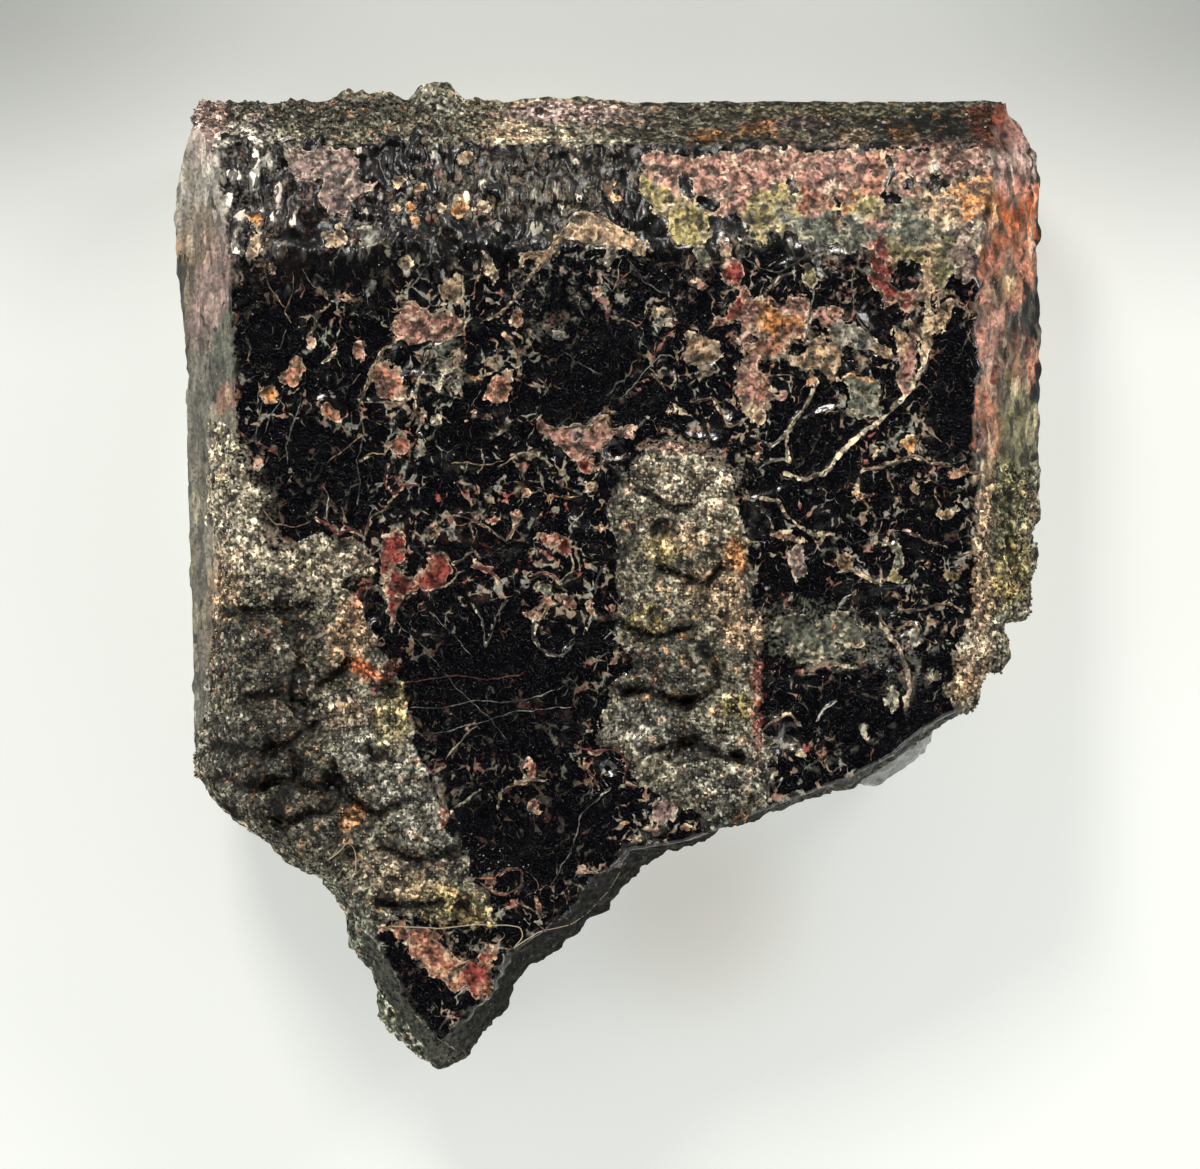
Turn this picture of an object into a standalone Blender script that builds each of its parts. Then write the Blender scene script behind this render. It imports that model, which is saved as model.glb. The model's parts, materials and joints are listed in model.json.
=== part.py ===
"""A broken thick tabular allanite crystal with a chip of quartz on its fracture.

The crystal lies on its back face. +Z points out of the large front face, +Y to the
whole end of the crystal and -Y to the broken tip. Sizes are in millimetres, and each
finished mesh is scaled to metres.
"""

import math

import bmesh
import bpy
from mathutils import Matrix, Vector, noise

METRES_PER_MM = 0.001

# Driving dimensions of the crystal: its thickness, its widest level, and how far
# each bevelled face steps in from there.
THICKNESS = 8.2
WAIST_HEIGHT = 4.2
LEFT_FACE, RIGHT_FACE, TOP_FACE = -11.85, 12.05, 13.3
LEFT_FACE_INSET = 1.5
LEFT_FACE_LEAN = 0.03
RIGHT_OUTER_INSET = 0.9
RIGHT_INNER_INSET = 0.85
RIGHT_FACE_BREAK_HEIGHT = 6.7
TOP_FACE_INSET = 1.25
TOP_FACE_BREAK_HEIGHT = 7.2
TOP_SLOPE_INSET = 2.9
BACK_FACE_INSET = 1.3

# How far the broken wall leans back from the waist, at the front and at the back.
BREAK_FRONT_INSET = 0.7
BREAK_BACK_INSET = 0.9
UNDERCUT_FRONT_INSET = 0.1
UNDERCUT_BACK_INSET = 1.6
INSET_REACH = 3

# The widest outline of the crystal, clockwise from its upper left corner. At the top
# and right it lies just outside the flat faces, which are cut to their places.
GROWN_SIDES = [
    (-11.25, 13.9), (-4.0, 13.9), (4.0, 13.9), (12.4, 13.9), (12.4, 9.0), (12.4, 5.0),
    (12.4, 1.7),
]
BROKEN_SIDES = [
    (11.8, 1.35), (12.1, 0.7), (11.8, -0.6), (11.7, -1.1), (11.1, -1.05), (10.95, -1.5),
    (11.2, -1.8), (10.95, -2.5), (10.6, -2.45), (10.4, -2.9), (10.3, -3.5), (9.4, -3.95),
    (8.7, -4.4), (8.0, -5.0), (6.8, -5.65), (4.3, -6.6), (2.3, -7.4), (0.9, -8.1),
    (0.1, -9.0), (-0.9, -10.0), (-2.1, -10.8), (-3.0, -12.1), (-4.2, -13.55), (-4.7, -13.86),
    (-5.1, -13.6), (-6.0, -12.5), (-6.6, -11.4), (-7.2, -9.7), (-8.0, -8.5), (-9.6, -7.6),
    (-10.4, -6.8), (-11.2, -6.0), (-11.5, -5.3),
]
LEFT_SIDE = [
    (-11.6, -4.6), (-11.6, -1.7), (-11.75, 2.2), (-11.8, 5.0), (-11.7, 5.7), (-11.85, 6.8),
    (-12.1, 9.3), (-12.1, 10.7), (-11.9, 11.8), (-11.65, 12.5),
]
OUTLINE = GROWN_SIDES + BROKEN_SIDES + LEFT_SIDE

# Grainy lumps on the top face: place along it, how far they stand out, half width.
TOP_LUMPS = [(-4.8, 0.56, 0.85), (-6.8, 0.25, 1.5), (-1.2, 0.14, 2.2)]

# Rough crusts that stand on the front face.
LEFT_CRUST = [
    (-11.0, 3.9), (-10.2, 3.4), (-9.5, 2.2), (-9.6, 1.2), (-8.6, 0.9), (-7.3, 1.1), (-6.9, -0.3),
    (-6.4, -1.8), (-5.8, -3.1), (-5.4, -5.0), (-4.8, -5.9), (-4.4, -7.2), (-3.8, -8.4),
    (-3.0, -9.8), (-4.9, -9.9), (-6.4, -9.7), (-7.2, -9.0), (-8.0, -8.2), (-9.7, -7.4),
    (-11.2, -5.9), (-11.4, -4.8), (-11.3, 0.5), (-11.1, 2.2),
]
MIDDLE_CRUST = [
    (1.4, 3.7), (2.4, 3.7), (3.1, 3.3), (3.6, 2.5), (3.7, 1.3), (4.0, 0.5), (4.0, -0.6),
    (4.5, -1.7), (4.2, -3.1), (4.6, -4.5), (4.6, -6.2), (3.1, -6.9), (2.6, -6.7), (2.4, -6.2),
    (1.3, -6.1), (0.6, -5.2), (-0.4, -4.7), (0.4, -4.0), (0.0, -3.1), (0.5, -1.7), (0.3, -0.6),
    (0.2, 0.5), (0.3, 2.2), (0.9, 3.2),
]
CRUST_HEIGHT = 0.34
CRUST_GRAIN = 0.26

# Healed cracks that stand as raised rims on the front face.
RIM_LINES = [
    [(9.2, 7.6), (8.9, 6.2), (7.9, 4.9), (6.6, 3.7), (5.8, 2.9), (4.9, 2.7), (4.2, 3.0)],
    [(5.9, 5.7), (5.6, 4.9), (5.1, 4.2), (5.0, 3.2)],
    [(7.1, 3.1), (8.0, 3.2), (8.8, 3.4), (9.6, 3.2), (10.2, 2.9)],
    [(4.4, 2.3), (5.1, 1.6), (5.6, 1.2), (6.5, 1.2)],
    [(6.3, 0.9), (6.8, 0.3), (7.4, 0.0), (8.1, 0.2), (8.3, 1.0), (8.0, 1.3)],
    [(-6.9, 4.9), (-6.6, 5.9), (-6.0, 6.6), (-5.0, 6.5), (-4.0, 6.8), (-4.0, 8.3)],
    [(-1.9, 4.6), (-1.0, 4.2), (0.0, 4.4), (0.8, 4.2)],
    [(-2.5, 9.0), (-1.7, 9.0), (-1.2, 9.8), (0.2, 9.6)],
]
RIM_HEIGHT = 0.28
RIM_WIDTH = 0.4

# Pits in the front face: place, radius and depth.
HOLLOWS = [
    (-3.0, -6.9, 1.5, 0.5), (-5.6, 5.8, 0.8, 0.4), (0.2, 3.4, 0.6, 0.35), (-0.5, 1.7, 0.7, 0.35),
    (-1.2, -1.6, 0.9, 0.3), (7.4, 0.7, 0.8, 0.35), (7.5, -0.8, 0.7, 0.3), (5.9, 5.0, 0.9, 0.3),
    (2.9, 4.5, 0.8, 0.3), (7.4, 7.7, 0.8, 0.35), (5.3, -4.5, 0.7, 0.35), (-8.8, 1.9, 0.9, 0.25),
    (-6.5, -0.9, 0.7, 0.3), (5.0, 9.3, 0.7, 0.3), (-10.0, 7.4, 0.9, 0.25), (1.8, 8.6, 0.8, 0.3),
]

# Relief that covers a whole face: its size across and its height.
CELL_SIZE = 1.5
CELL_RIM_HEIGHT = 0.16
CELL_RIM_WIDTH = 0.5
CELL_DRIFT = 0.35
SWELL_SIZE = 5.0
SWELL_HEIGHT = 0.16
CRUST_GRAIN_SIZE = 0.55
GROOVE_SIZE = 0.9
GROOVE_STRETCH = 0.2
GROOVE_DEPTH = 0.1
BREAK_SIZE = 1.3
BREAK_DEPTH = 0.36
BACK_PIT_SIZE = 2.2
BACK_PIT_DEPTH = 0.45
REST_RADIUS = 6.5
REST_CENTRE = Vector((0.0, 2.0))

# Spacing of the cuts that divide the flat faces, and the shortest edge they leave.
CUT_SPACING = 0.95
CUT_REACH = 14.5
SHORTEST_EDGE = 0.1

# The quartz chip under the edge of the fracture, and its gap to the broken wall.
CHIP_CORNERS = [
    (6.9, -5.95, 2.1), (7.5, -5.8, 2.6), (8.0, -5.5, 2.3), (8.75, -5.15, 2.5), (9.15, -4.6, 2.3),
    (9.4, -4.0, 2.0), (7.3, -5.6, 3.5), (8.1, -5.2, 3.8), (8.8, -4.7, 3.5), (7.1, -5.6, 1.0),
    (8.0, -5.1, 0.7), (8.9, -4.6, 0.9), (7.2, -4.7, 1.2), (8.7, -3.5, 1.0), (7.4, -4.8, 3.3),
    (9.0, -3.7, 3.2),
]
CHIP_GAP = 0.3
CHIP_OUTWARD = Vector((0.5, -0.87, 0.0)).normalized()


def clear_scene():
    for obj in list(bpy.data.objects):
        bpy.data.objects.remove(obj)


def whole(bm):
    return bm.verts[:] + bm.edges[:] + bm.faces[:]


def step_up(value, low, high):
    """0 below low, 1 above high, and a smooth rise between them."""
    share = min(max((value - low) / (high - low), 0.0), 1.0)
    return share * share * (3 - 2 * share)


def inward(index):
    """The direction from an outline corner to the inside, square to its surroundings."""
    before = Vector(OUTLINE[index - INSET_REACH])
    after = Vector(OUTLINE[(index + INSET_REACH) % len(OUTLINE)])
    along = (after - before).normalized()
    return Vector((along.y, -along.x))


def wall_insets(index):
    """How far this corner of the outline steps in, at the front and at the back."""
    first_broken = len(GROWN_SIDES)
    if not first_broken <= index < first_broken + len(BROKEN_SIDES):
        return 0.0, 0.0
    x = OUTLINE[index][0]
    steep = step_up(x, 0.5, 2.5)
    front = BREAK_FRONT_INSET + steep * (UNDERCUT_FRONT_INSET - BREAK_FRONT_INSET)
    above_chip = step_up(x, 4.5, 6.0) * (1 - step_up(x, 9.6, 10.6))
    back = BREAK_BACK_INSET + above_chip * (UNDERCUT_BACK_INSET - BREAK_BACK_INSET)
    return front, back


def outline_slab():
    """The outline as a closed slab with a waist, leaning in along the fracture."""
    bm = bmesh.new()
    back, waist, front = [], [], []
    for index, corner in enumerate(OUTLINE):
        point = Vector(corner)
        front_inset, back_inset = wall_insets(index)
        towards = inward(index)
        back.append(bm.verts.new((*(point + towards * back_inset), 0.0)))
        waist.append(bm.verts.new((*point, WAIST_HEIGHT)))
        front.append(bm.verts.new((*(point + towards * front_inset), THICKNESS)))
    count = len(OUTLINE)
    for lower, upper in ((back, waist), (waist, front)):
        for i in range(count):
            j = (i + 1) % count
            bm.faces.new((lower[j], lower[i], upper[i], upper[j]))
    bm.faces.new(back)
    bm.faces.new(front[::-1])
    bmesh.ops.recalc_face_normals(bm, faces=bm.faces[:])
    return bm


def cut_face(bm, point, normal):
    """Cuts one flat crystal face: what lies beyond the plane is taken away."""
    bmesh.ops.bisect_plane(
        bm, geom=whole(bm), dist=1e-5, plane_co=point, plane_no=normal, clear_outer=True
    )
    open_edges = [edge for edge in bm.edges if edge.is_boundary]
    bmesh.ops.holes_fill(bm, edges=open_edges, sides=0)


def cut_crystal_faces(bm):
    """The bevelled faces left, right and at the top, before and behind the waist."""
    upper = THICKNESS - WAIST_HEIGHT
    left_slope = LEFT_FACE_LEAN * upper
    right_rise = RIGHT_FACE_BREAK_HEIGHT - WAIST_HEIGHT
    right_rest = THICKNESS - RIGHT_FACE_BREAK_HEIGHT
    right_break = RIGHT_FACE - RIGHT_OUTER_INSET
    top_rise = TOP_FACE_BREAK_HEIGHT - WAIST_HEIGHT
    top_rest = THICKNESS - TOP_FACE_BREAK_HEIGHT
    top_break = TOP_FACE - TOP_FACE_INSET
    faces = (
        ((LEFT_FACE, 3.0, WAIST_HEIGHT), (-upper, -left_slope, LEFT_FACE_INSET)),
        ((RIGHT_FACE, 3.0, WAIST_HEIGHT), (right_rise, 0, RIGHT_OUTER_INSET)),
        ((right_break, 3.0, RIGHT_FACE_BREAK_HEIGHT), (right_rest, 0, RIGHT_INNER_INSET)),
        ((0, TOP_FACE, WAIST_HEIGHT + 0.2), (0, top_rise, TOP_FACE_INSET)),
        ((0, top_break, TOP_FACE_BREAK_HEIGHT), (0, top_rest, TOP_SLOPE_INSET)),
        ((11.6, 12.55, WAIST_HEIGHT), (1.0, 0.68, 0.5)),
        ((LEFT_FACE, 3.0, WAIST_HEIGHT - 0.6), (-WAIST_HEIGHT, -left_slope, -BACK_FACE_INSET)),
        ((RIGHT_FACE, 3.0, WAIST_HEIGHT - 0.6), (WAIST_HEIGHT, 0, -BACK_FACE_INSET)),
        ((0, TOP_FACE, WAIST_HEIGHT - 0.4), (0, WAIST_HEIGHT, -BACK_FACE_INSET)),
        ((11.6, 12.55, WAIST_HEIGHT - 0.4), (1.0, 0.68, -0.45)),
    )
    for point, normal in faces:
        cut_face(bm, point, normal)


def divide(bm):
    """Scores the faces into small ones, so that relief can be raised on them."""
    for axis in (Vector((1, 0, 0)), Vector((0, 1, 0)), Vector((0, 0, 1))):
        offset = 0.37 * CUT_SPACING - CUT_REACH
        while offset < CUT_REACH:
            bmesh.ops.bisect_plane(
                bm, geom=whole(bm), dist=1e-5, plane_co=axis * offset, plane_no=axis
            )
            offset += CUT_SPACING
    bmesh.ops.dissolve_degenerate(bm, dist=SHORTEST_EDGE, edges=bm.edges[:])
    front = {edge for face in bm.faces if face.normal.z > 0.6 for edge in face.edges}
    bmesh.ops.subdivide_edges(bm, edges=list(front), cuts=1, use_grid_fill=True)
    bmesh.ops.triangulate(bm, faces=bm.faces[:])
    bmesh.ops.recalc_face_normals(bm, faces=bm.faces[:])


def distance_to_segment(point, start, end):
    along = end - start
    share = min(max((point - start).dot(along) / along.length_squared, 0.0), 1.0)
    return (start + along * share - point).length


def distance_to_line(point, corners):
    corners = [Vector(corner) for corner in corners]
    return min(distance_to_segment(point, a, b) for a, b in zip(corners, corners[1:]))


def depth_inside(point, corners):
    """Distance from a point to the rim of a closed outline, negative outside it."""
    inside = False
    for (ax, ay), (bx, by) in zip(corners, corners[1:] + corners[:1]):
        if (ay > point.y) != (by > point.y):
            if ax + (point.y - ay) * (bx - ax) / (by - ay) > point.x:
                inside = not inside
    distance = distance_to_line(point, corners + corners[:1])
    return distance if inside else -distance


def cell_rims(place):
    """1 along the thin walls between rounded cells, falling to 0 beside them."""
    distances, _ = noise.voronoi(place / CELL_SIZE)
    return 1.0 - step_up((distances[1] - distances[0]) * CELL_SIZE, 0.0, CELL_RIM_WIDTH)


def front_relief(place):
    """How far the front face stands out here, with its crusts, rims and pits."""
    flat = place.xy
    drift = noise.noise_vector(place / CELL_SIZE) * CELL_DRIFT
    height = SWELL_HEIGHT * noise.noise(place / SWELL_SIZE)
    height += CELL_RIM_HEIGHT * cell_rims(place + drift)
    for x, y, radius, depth in HOLLOWS:
        away = math.hypot(flat.x - x, flat.y - y)
        height -= depth * (1.0 - step_up(away, 0.35 * radius, radius))
    nearest_rim = min(distance_to_line(flat, line) for line in RIM_LINES)
    height = max(height, RIM_HEIGHT * (1.0 - step_up(nearest_rim, 0.0, RIM_WIDTH)))
    crust_depth = max(depth_inside(flat, LEFT_CRUST), depth_inside(flat, MIDDLE_CRUST))
    crust = step_up(crust_depth, -0.15, 0.3)
    crust_height = CRUST_HEIGHT + CRUST_GRAIN * noise.noise(place / CRUST_GRAIN_SIZE)
    return height * (1 - crust) + crust_height * crust


def side_relief(place):
    """Fine grooves that run along the crystal, up and down its narrow faces."""
    stretched = Vector((place.x, place.y * GROOVE_STRETCH, place.z)) / GROOVE_SIZE
    return GROOVE_DEPTH * noise.noise(stretched)


def broken_relief(place):
    return BREAK_DEPTH * noise.fractal(place / BREAK_SIZE, 0.9, 2.0, 3)


def broken_share(place):
    """1 on the fractured side of the crystal, 0 on its grown faces."""
    on_the_right = step_up(place.x, 4.0, 11.0)
    edge_height = -3.2 - 0.15 * place.x + (0.25 * place.x + 1.2) * on_the_right
    return step_up(edge_height - place.y, 0.0, 1.5)


def lump_height(x):
    """How far the grainy lumps push out the top face at this place along it."""
    return sum(
        height * (1.0 - step_up(abs(x - centre), 0.3 * reach, reach))
        for centre, height, reach in TOP_LUMPS
    )


def back_relief(place):
    """Shallow pits, which leave the middle of the back flat to rest on."""
    away = (place.xy - REST_CENTRE).length
    pit = step_up(noise.noise(place / BACK_PIT_SIZE), 0.12, 0.5)
    return BACK_PIT_DEPTH * pit * step_up(away, REST_RADIUS - 1.0, REST_RADIUS)


def relief_at(place, normal):
    """The move that raises or sinks one point of the surface."""
    if place.z < 0.01:
        return Vector((0, 0, back_relief(place) * step_up(-normal.z, 0.8, 0.98)))
    ahead = step_up(normal.z, 0.55, 0.9)
    wall = side_relief(place)
    wall += broken_share(place) * (broken_relief(place) - wall)
    height = (1.0 - ahead) * wall
    if ahead > 0:
        height += ahead * front_relief(place)
    move = normal * height
    near_top = step_up(place.y, TOP_FACE - TOP_FACE_INSET, TOP_FACE - 0.4)
    move.y += lump_height(place.x) * near_top * step_up(place.z, 2.5, WAIST_HEIGHT)
    return move


def raise_relief(bm):
    bm.normal_update()
    moves = [relief_at(vert.co, vert.normal) for vert in bm.verts]
    for vert, move in zip(bm.verts, moves):
        vert.co += move
        vert.co.z = max(vert.co.z, 0.0)


def centre_on_origin(bm):
    """Puts the crystal's box over the origin. The back face stays at height zero."""
    shift = Vector((0, 0, 0))
    for axis in (0, 1):
        reach = [vert.co[axis] for vert in bm.verts]
        shift[axis] = -(min(reach) + max(reach)) / 2
    bmesh.ops.translate(bm, verts=bm.verts[:], vec=shift)
    return shift


def mineral(name, colour, roughness, transmission=0.0):
    material = bpy.data.materials.new(name)
    material.use_nodes = True
    shader = material.node_tree.nodes["Principled BSDF"]
    shader.inputs["Base Color"].default_value = (*colour, 1.0)
    shader.inputs["Roughness"].default_value = roughness
    shader.inputs["Metallic"].default_value = 0.0
    shader.inputs["Transmission Weight"].default_value = transmission
    return material


def finish_object(bm, name, material):
    """Makes a bmesh in millimetres into an object in metres."""
    mesh = bpy.data.meshes.new(name)
    bm.to_mesh(mesh)
    bm.free()
    mesh.transform(Matrix.Scale(METRES_PER_MM, 4))
    mesh.materials.append(material)
    obj = bpy.data.objects.new(name, mesh)
    bpy.context.scene.collection.objects.link(obj)
    return obj


def make_crystal():
    bm = outline_slab()
    cut_crystal_faces(bm)
    divide(bm)
    raise_relief(bm)
    shift = centre_on_origin(bm)
    black = mineral("allanite", (0.035, 0.03, 0.027), 0.35)
    return finish_object(bm, "allanite_crystal", black), shift


def make_chip(crystal, shift):
    """A glassy splinter, fitted to the broken wall that it grew on."""
    bm = bmesh.new()
    for corner in CHIP_CORNERS:
        bm.verts.new(Vector(corner) + shift - CHIP_OUTWARD * CHIP_GAP)
    bmesh.ops.convex_hull(bm, input=bm.verts[:])
    bmesh.ops.recalc_face_normals(bm, faces=bm.faces[:])
    clear = mineral("quartz", (0.75, 0.76, 0.74), 0.15, transmission=0.8)
    chip = finish_object(bm, "quartz_chip", clear)
    fit = chip.modifiers.new("fit to the wall", "BOOLEAN")
    fit.operation = "DIFFERENCE"
    fit.solver = "EXACT"
    fit.object = crystal
    chip.location = CHIP_OUTWARD * CHIP_GAP * METRES_PER_MM
    return chip


clear_scene()
crystal, crystal_shift = make_crystal()
make_chip(crystal, crystal_shift)
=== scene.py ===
"""A broken allanite crystal lying on its back: the finish of its faces, crusts and breaks.

Lengths are in millimetres while a piece is shaped, and each finished mesh is scaled to
metres. X and Y are measured on the crystal's front face as the camera sees it.
"""

import json
import math

import bpy
import numpy as np
from mathutils import Matrix, Vector, noise
from mathutils.bvhtree import BVHTree

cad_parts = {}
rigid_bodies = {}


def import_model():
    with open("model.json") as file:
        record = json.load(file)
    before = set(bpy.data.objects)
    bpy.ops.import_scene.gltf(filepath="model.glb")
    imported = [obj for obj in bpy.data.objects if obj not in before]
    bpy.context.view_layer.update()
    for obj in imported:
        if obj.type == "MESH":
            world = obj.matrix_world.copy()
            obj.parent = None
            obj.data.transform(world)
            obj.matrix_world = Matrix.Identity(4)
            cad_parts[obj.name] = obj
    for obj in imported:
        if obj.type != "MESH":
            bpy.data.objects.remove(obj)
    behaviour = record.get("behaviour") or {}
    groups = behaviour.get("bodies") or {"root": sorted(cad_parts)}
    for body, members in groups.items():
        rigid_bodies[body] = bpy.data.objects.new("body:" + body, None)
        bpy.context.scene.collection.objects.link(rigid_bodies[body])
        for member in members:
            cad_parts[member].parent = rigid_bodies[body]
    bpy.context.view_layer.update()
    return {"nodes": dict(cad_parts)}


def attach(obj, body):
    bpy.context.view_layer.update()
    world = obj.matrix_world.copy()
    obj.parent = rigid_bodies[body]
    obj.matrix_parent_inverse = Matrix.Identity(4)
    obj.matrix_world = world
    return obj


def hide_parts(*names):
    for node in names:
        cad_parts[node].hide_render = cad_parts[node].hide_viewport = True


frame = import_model()

# The crystal
# One grown piece of allanite: a thick table with bevelled faces left, right and at the
# top, a flat back, and a rough break across its lower end.

MM = 0.001
CENTRING = Vector((-0.0325, -0.1317, 0.0))

THICKNESS = 8.2
WAIST_HEIGHT = 4.2
LEFT_FACE, RIGHT_FACE, TOP_FACE = -11.85, 12.05, 13.3
LEFT_FACE_INSET = 1.5
LEFT_FACE_LEAN = 0.03
RIGHT_OUTER_INSET = 0.9
RIGHT_INNER_INSET = 0.85
RIGHT_FACE_BREAK_HEIGHT = 6.7
TOP_FACE_INSET = 1.25
TOP_FACE_BREAK_HEIGHT = 7.2
TOP_SLOPE_INSET = 2.9
BACK_FACE_INSET = 1.3
BREAK_FRONT_INSET = 0.7
BREAK_BACK_INSET = 0.9
UNDERCUT_FRONT_INSET = 0.1
UNDERCUT_BACK_INSET = 1.6
INSET_REACH = 3
SKIN_SPACING = 0.085
SKIN_FACES = 176000
SEEN_WEIGHT = 0.5
SEEN_CARE = 0.03
SAME_PLACE = 0.001
CORNER_DIGITS = 4

GROWN_SIDES = [
    (-11.25, 13.9), (-4.0, 13.9), (4.0, 13.9), (12.4, 13.9), (12.4, 9.0), (12.4, 5.0),
    (12.4, 1.7),
]
BROKEN_SIDES = [
    (11.8, 1.35), (12.1, 0.7), (11.8, -0.6), (11.7, -1.1), (11.1, -1.05), (10.95, -1.5),
    (11.2, -1.8), (10.95, -2.5), (10.6, -2.45), (10.4, -2.9), (10.3, -3.5), (9.4, -3.95),
    (8.7, -4.4), (8.0, -5.0), (6.8, -5.65), (4.3, -6.6), (2.3, -7.4), (0.9, -8.1),
    (0.1, -9.0), (-0.9, -10.0), (-2.1, -10.8), (-3.0, -12.1), (-4.2, -13.55), (-4.7, -13.86),
    (-5.1, -13.6), (-6.0, -12.5), (-6.6, -11.4), (-7.2, -9.7), (-8.0, -8.5), (-9.6, -7.6),
    (-10.4, -6.8), (-11.2, -6.0), (-11.5, -5.3),
]
LEFT_SIDE = [
    (-11.6, -4.6), (-11.6, -1.7), (-11.75, 2.2), (-11.8, 5.0), (-11.7, 5.7), (-11.85, 6.8),
    (-12.1, 9.3), (-12.1, 10.7), (-11.9, 11.8), (-11.65, 12.5),
]
OUTLINE = GROWN_SIDES + BROKEN_SIDES + LEFT_SIDE


def smooth_rise(value, low, high):
    """0 below low, 1 above high, and a smooth rise between them."""
    share = np.clip((value - low) / (high - low), 0.0, 1.0)
    return share * share * (3 - 2 * share)


def inward(index):
    """The direction from an outline corner to the inside, square to its surroundings."""
    before = Vector(OUTLINE[index - INSET_REACH])
    after = Vector(OUTLINE[(index + INSET_REACH) % len(OUTLINE)])
    along = (after - before).normalized()
    return Vector((along.y, -along.x))


def wall_insets(index):
    """How far this corner of the outline steps in, at the front and at the back."""
    first_broken = len(GROWN_SIDES)
    if not first_broken <= index < first_broken + len(BROKEN_SIDES):
        return 0.0, 0.0
    x = OUTLINE[index][0]
    steep = smooth_rise(x, 0.5, 2.5)
    front = BREAK_FRONT_INSET + steep * (UNDERCUT_FRONT_INSET - BREAK_FRONT_INSET)
    above_chip = smooth_rise(x, 4.5, 6.0) * (1 - smooth_rise(x, 9.6, 10.6))
    back = BREAK_BACK_INSET + above_chip * (UNDERCUT_BACK_INSET - BREAK_BACK_INSET)
    return front, back


def select_all_of(obj):
    """Makes this the one selected object, in edit mode with all of it selected."""
    bpy.ops.object.select_all(action="DESELECT")
    obj.select_set(True)
    bpy.context.view_layer.objects.active = obj
    bpy.ops.object.mode_set(mode="EDIT")
    bpy.ops.mesh.select_all(action="SELECT")


bpy.ops.object.select_all(action="DESELECT")
bpy.ops.mesh.primitive_circle_add(vertices=len(OUTLINE), fill_type="NGON")
crystal = bpy.context.object
crystal.name = "crystal_skin"
for index, vertex in enumerate(crystal.data.vertices):
    back_corner = Vector(OUTLINE[index]) + inward(index) * wall_insets(index)[1]
    vertex.co = (*back_corner, 0.0)

# The slab is raised in two steps: to the waist, its widest level, and to the front.
for level, height in ((WAIST_HEIGHT, WAIST_HEIGHT), (THICKNESS, THICKNESS - WAIST_HEIGHT)):
    below = {tuple(round(c, 4) for c in v.co.xy): i for i, v in enumerate(crystal.data.vertices)
             if abs(v.co.z - (level - height)) < 1e-4}
    below = {place: i % len(OUTLINE) for place, i in below.items()}
    if level == WAIST_HEIGHT:
        corner_at = dict(below)
    select_all_of(crystal)
    bpy.ops.mesh.select_all(action="DESELECT")
    bpy.ops.mesh.select_mode(type="FACE")
    bpy.ops.object.mode_set(mode="OBJECT")
    for face in crystal.data.polygons:
        face.select = len(face.vertices) == len(OUTLINE) and abs(face.center.z - level + height) < 1e-3
    bpy.ops.object.mode_set(mode="EDIT")
    bpy.ops.mesh.extrude_region_move(TRANSFORM_OT_translate={"value": (0, 0, height)})
    bpy.ops.object.mode_set(mode="OBJECT")
    next_corners = {}
    for vertex in crystal.data.vertices:
        if abs(vertex.co.z - level) < 1e-4:
            index = corner_at[tuple(round(c, 4) for c in vertex.co.xy)]
            place = Vector(OUTLINE[index])
            if level == THICKNESS:
                place += inward(index) * wall_insets(index)[0]
            vertex.co = (*place, level)
            next_corners[tuple(round(c, 4) for c in vertex.co.xy)] = index
    corner_at = next_corners

upper = THICKNESS - WAIST_HEIGHT
left_slope = LEFT_FACE_LEAN * upper
FACES = {
    "left": ((LEFT_FACE, 3.0, WAIST_HEIGHT), (-upper, -left_slope, LEFT_FACE_INSET)),
    "right_outer": (
        (RIGHT_FACE, 3.0, WAIST_HEIGHT),
        (RIGHT_FACE_BREAK_HEIGHT - WAIST_HEIGHT, 0, RIGHT_OUTER_INSET),
    ),
    "right_inner": (
        (RIGHT_FACE - RIGHT_OUTER_INSET, 3.0, RIGHT_FACE_BREAK_HEIGHT),
        (THICKNESS - RIGHT_FACE_BREAK_HEIGHT, 0, RIGHT_INNER_INSET),
    ),
    "top": (
        (0, TOP_FACE, WAIST_HEIGHT + 0.2),
        (0, TOP_FACE_BREAK_HEIGHT - WAIST_HEIGHT, TOP_FACE_INSET),
    ),
    "slope": (
        (0, TOP_FACE - TOP_FACE_INSET, TOP_FACE_BREAK_HEIGHT),
        (0, THICKNESS - TOP_FACE_BREAK_HEIGHT, TOP_SLOPE_INSET),
    ),
    "corner": ((11.6, 12.55, WAIST_HEIGHT), (1.0, 0.68, 0.5)),
    "left_back": (
        (LEFT_FACE, 3.0, WAIST_HEIGHT - 0.6),
        (-WAIST_HEIGHT, -left_slope, -BACK_FACE_INSET),
    ),
    "right_back": ((RIGHT_FACE, 3.0, WAIST_HEIGHT - 0.6), (WAIST_HEIGHT, 0, -BACK_FACE_INSET)),
    "top_back": ((0, TOP_FACE, WAIST_HEIGHT - 0.4), (0, WAIST_HEIGHT, -BACK_FACE_INSET)),
    "corner_back": ((11.6, 12.55, WAIST_HEIGHT - 0.4), (1.0, 0.68, -0.45)),
}
for point, normal in FACES.values():
    select_all_of(crystal)
    outward = Vector(normal).normalized()
    bpy.ops.mesh.bisect(plane_co=point, plane_no=outward, use_fill=True, clear_outer=True)
    bpy.ops.object.mode_set(mode="OBJECT")
select_all_of(crystal)
bpy.ops.mesh.remove_doubles(threshold=SAME_PLACE)
bpy.ops.mesh.normals_make_consistent(inside=False)
bpy.ops.object.mode_set(mode="OBJECT")

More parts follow.
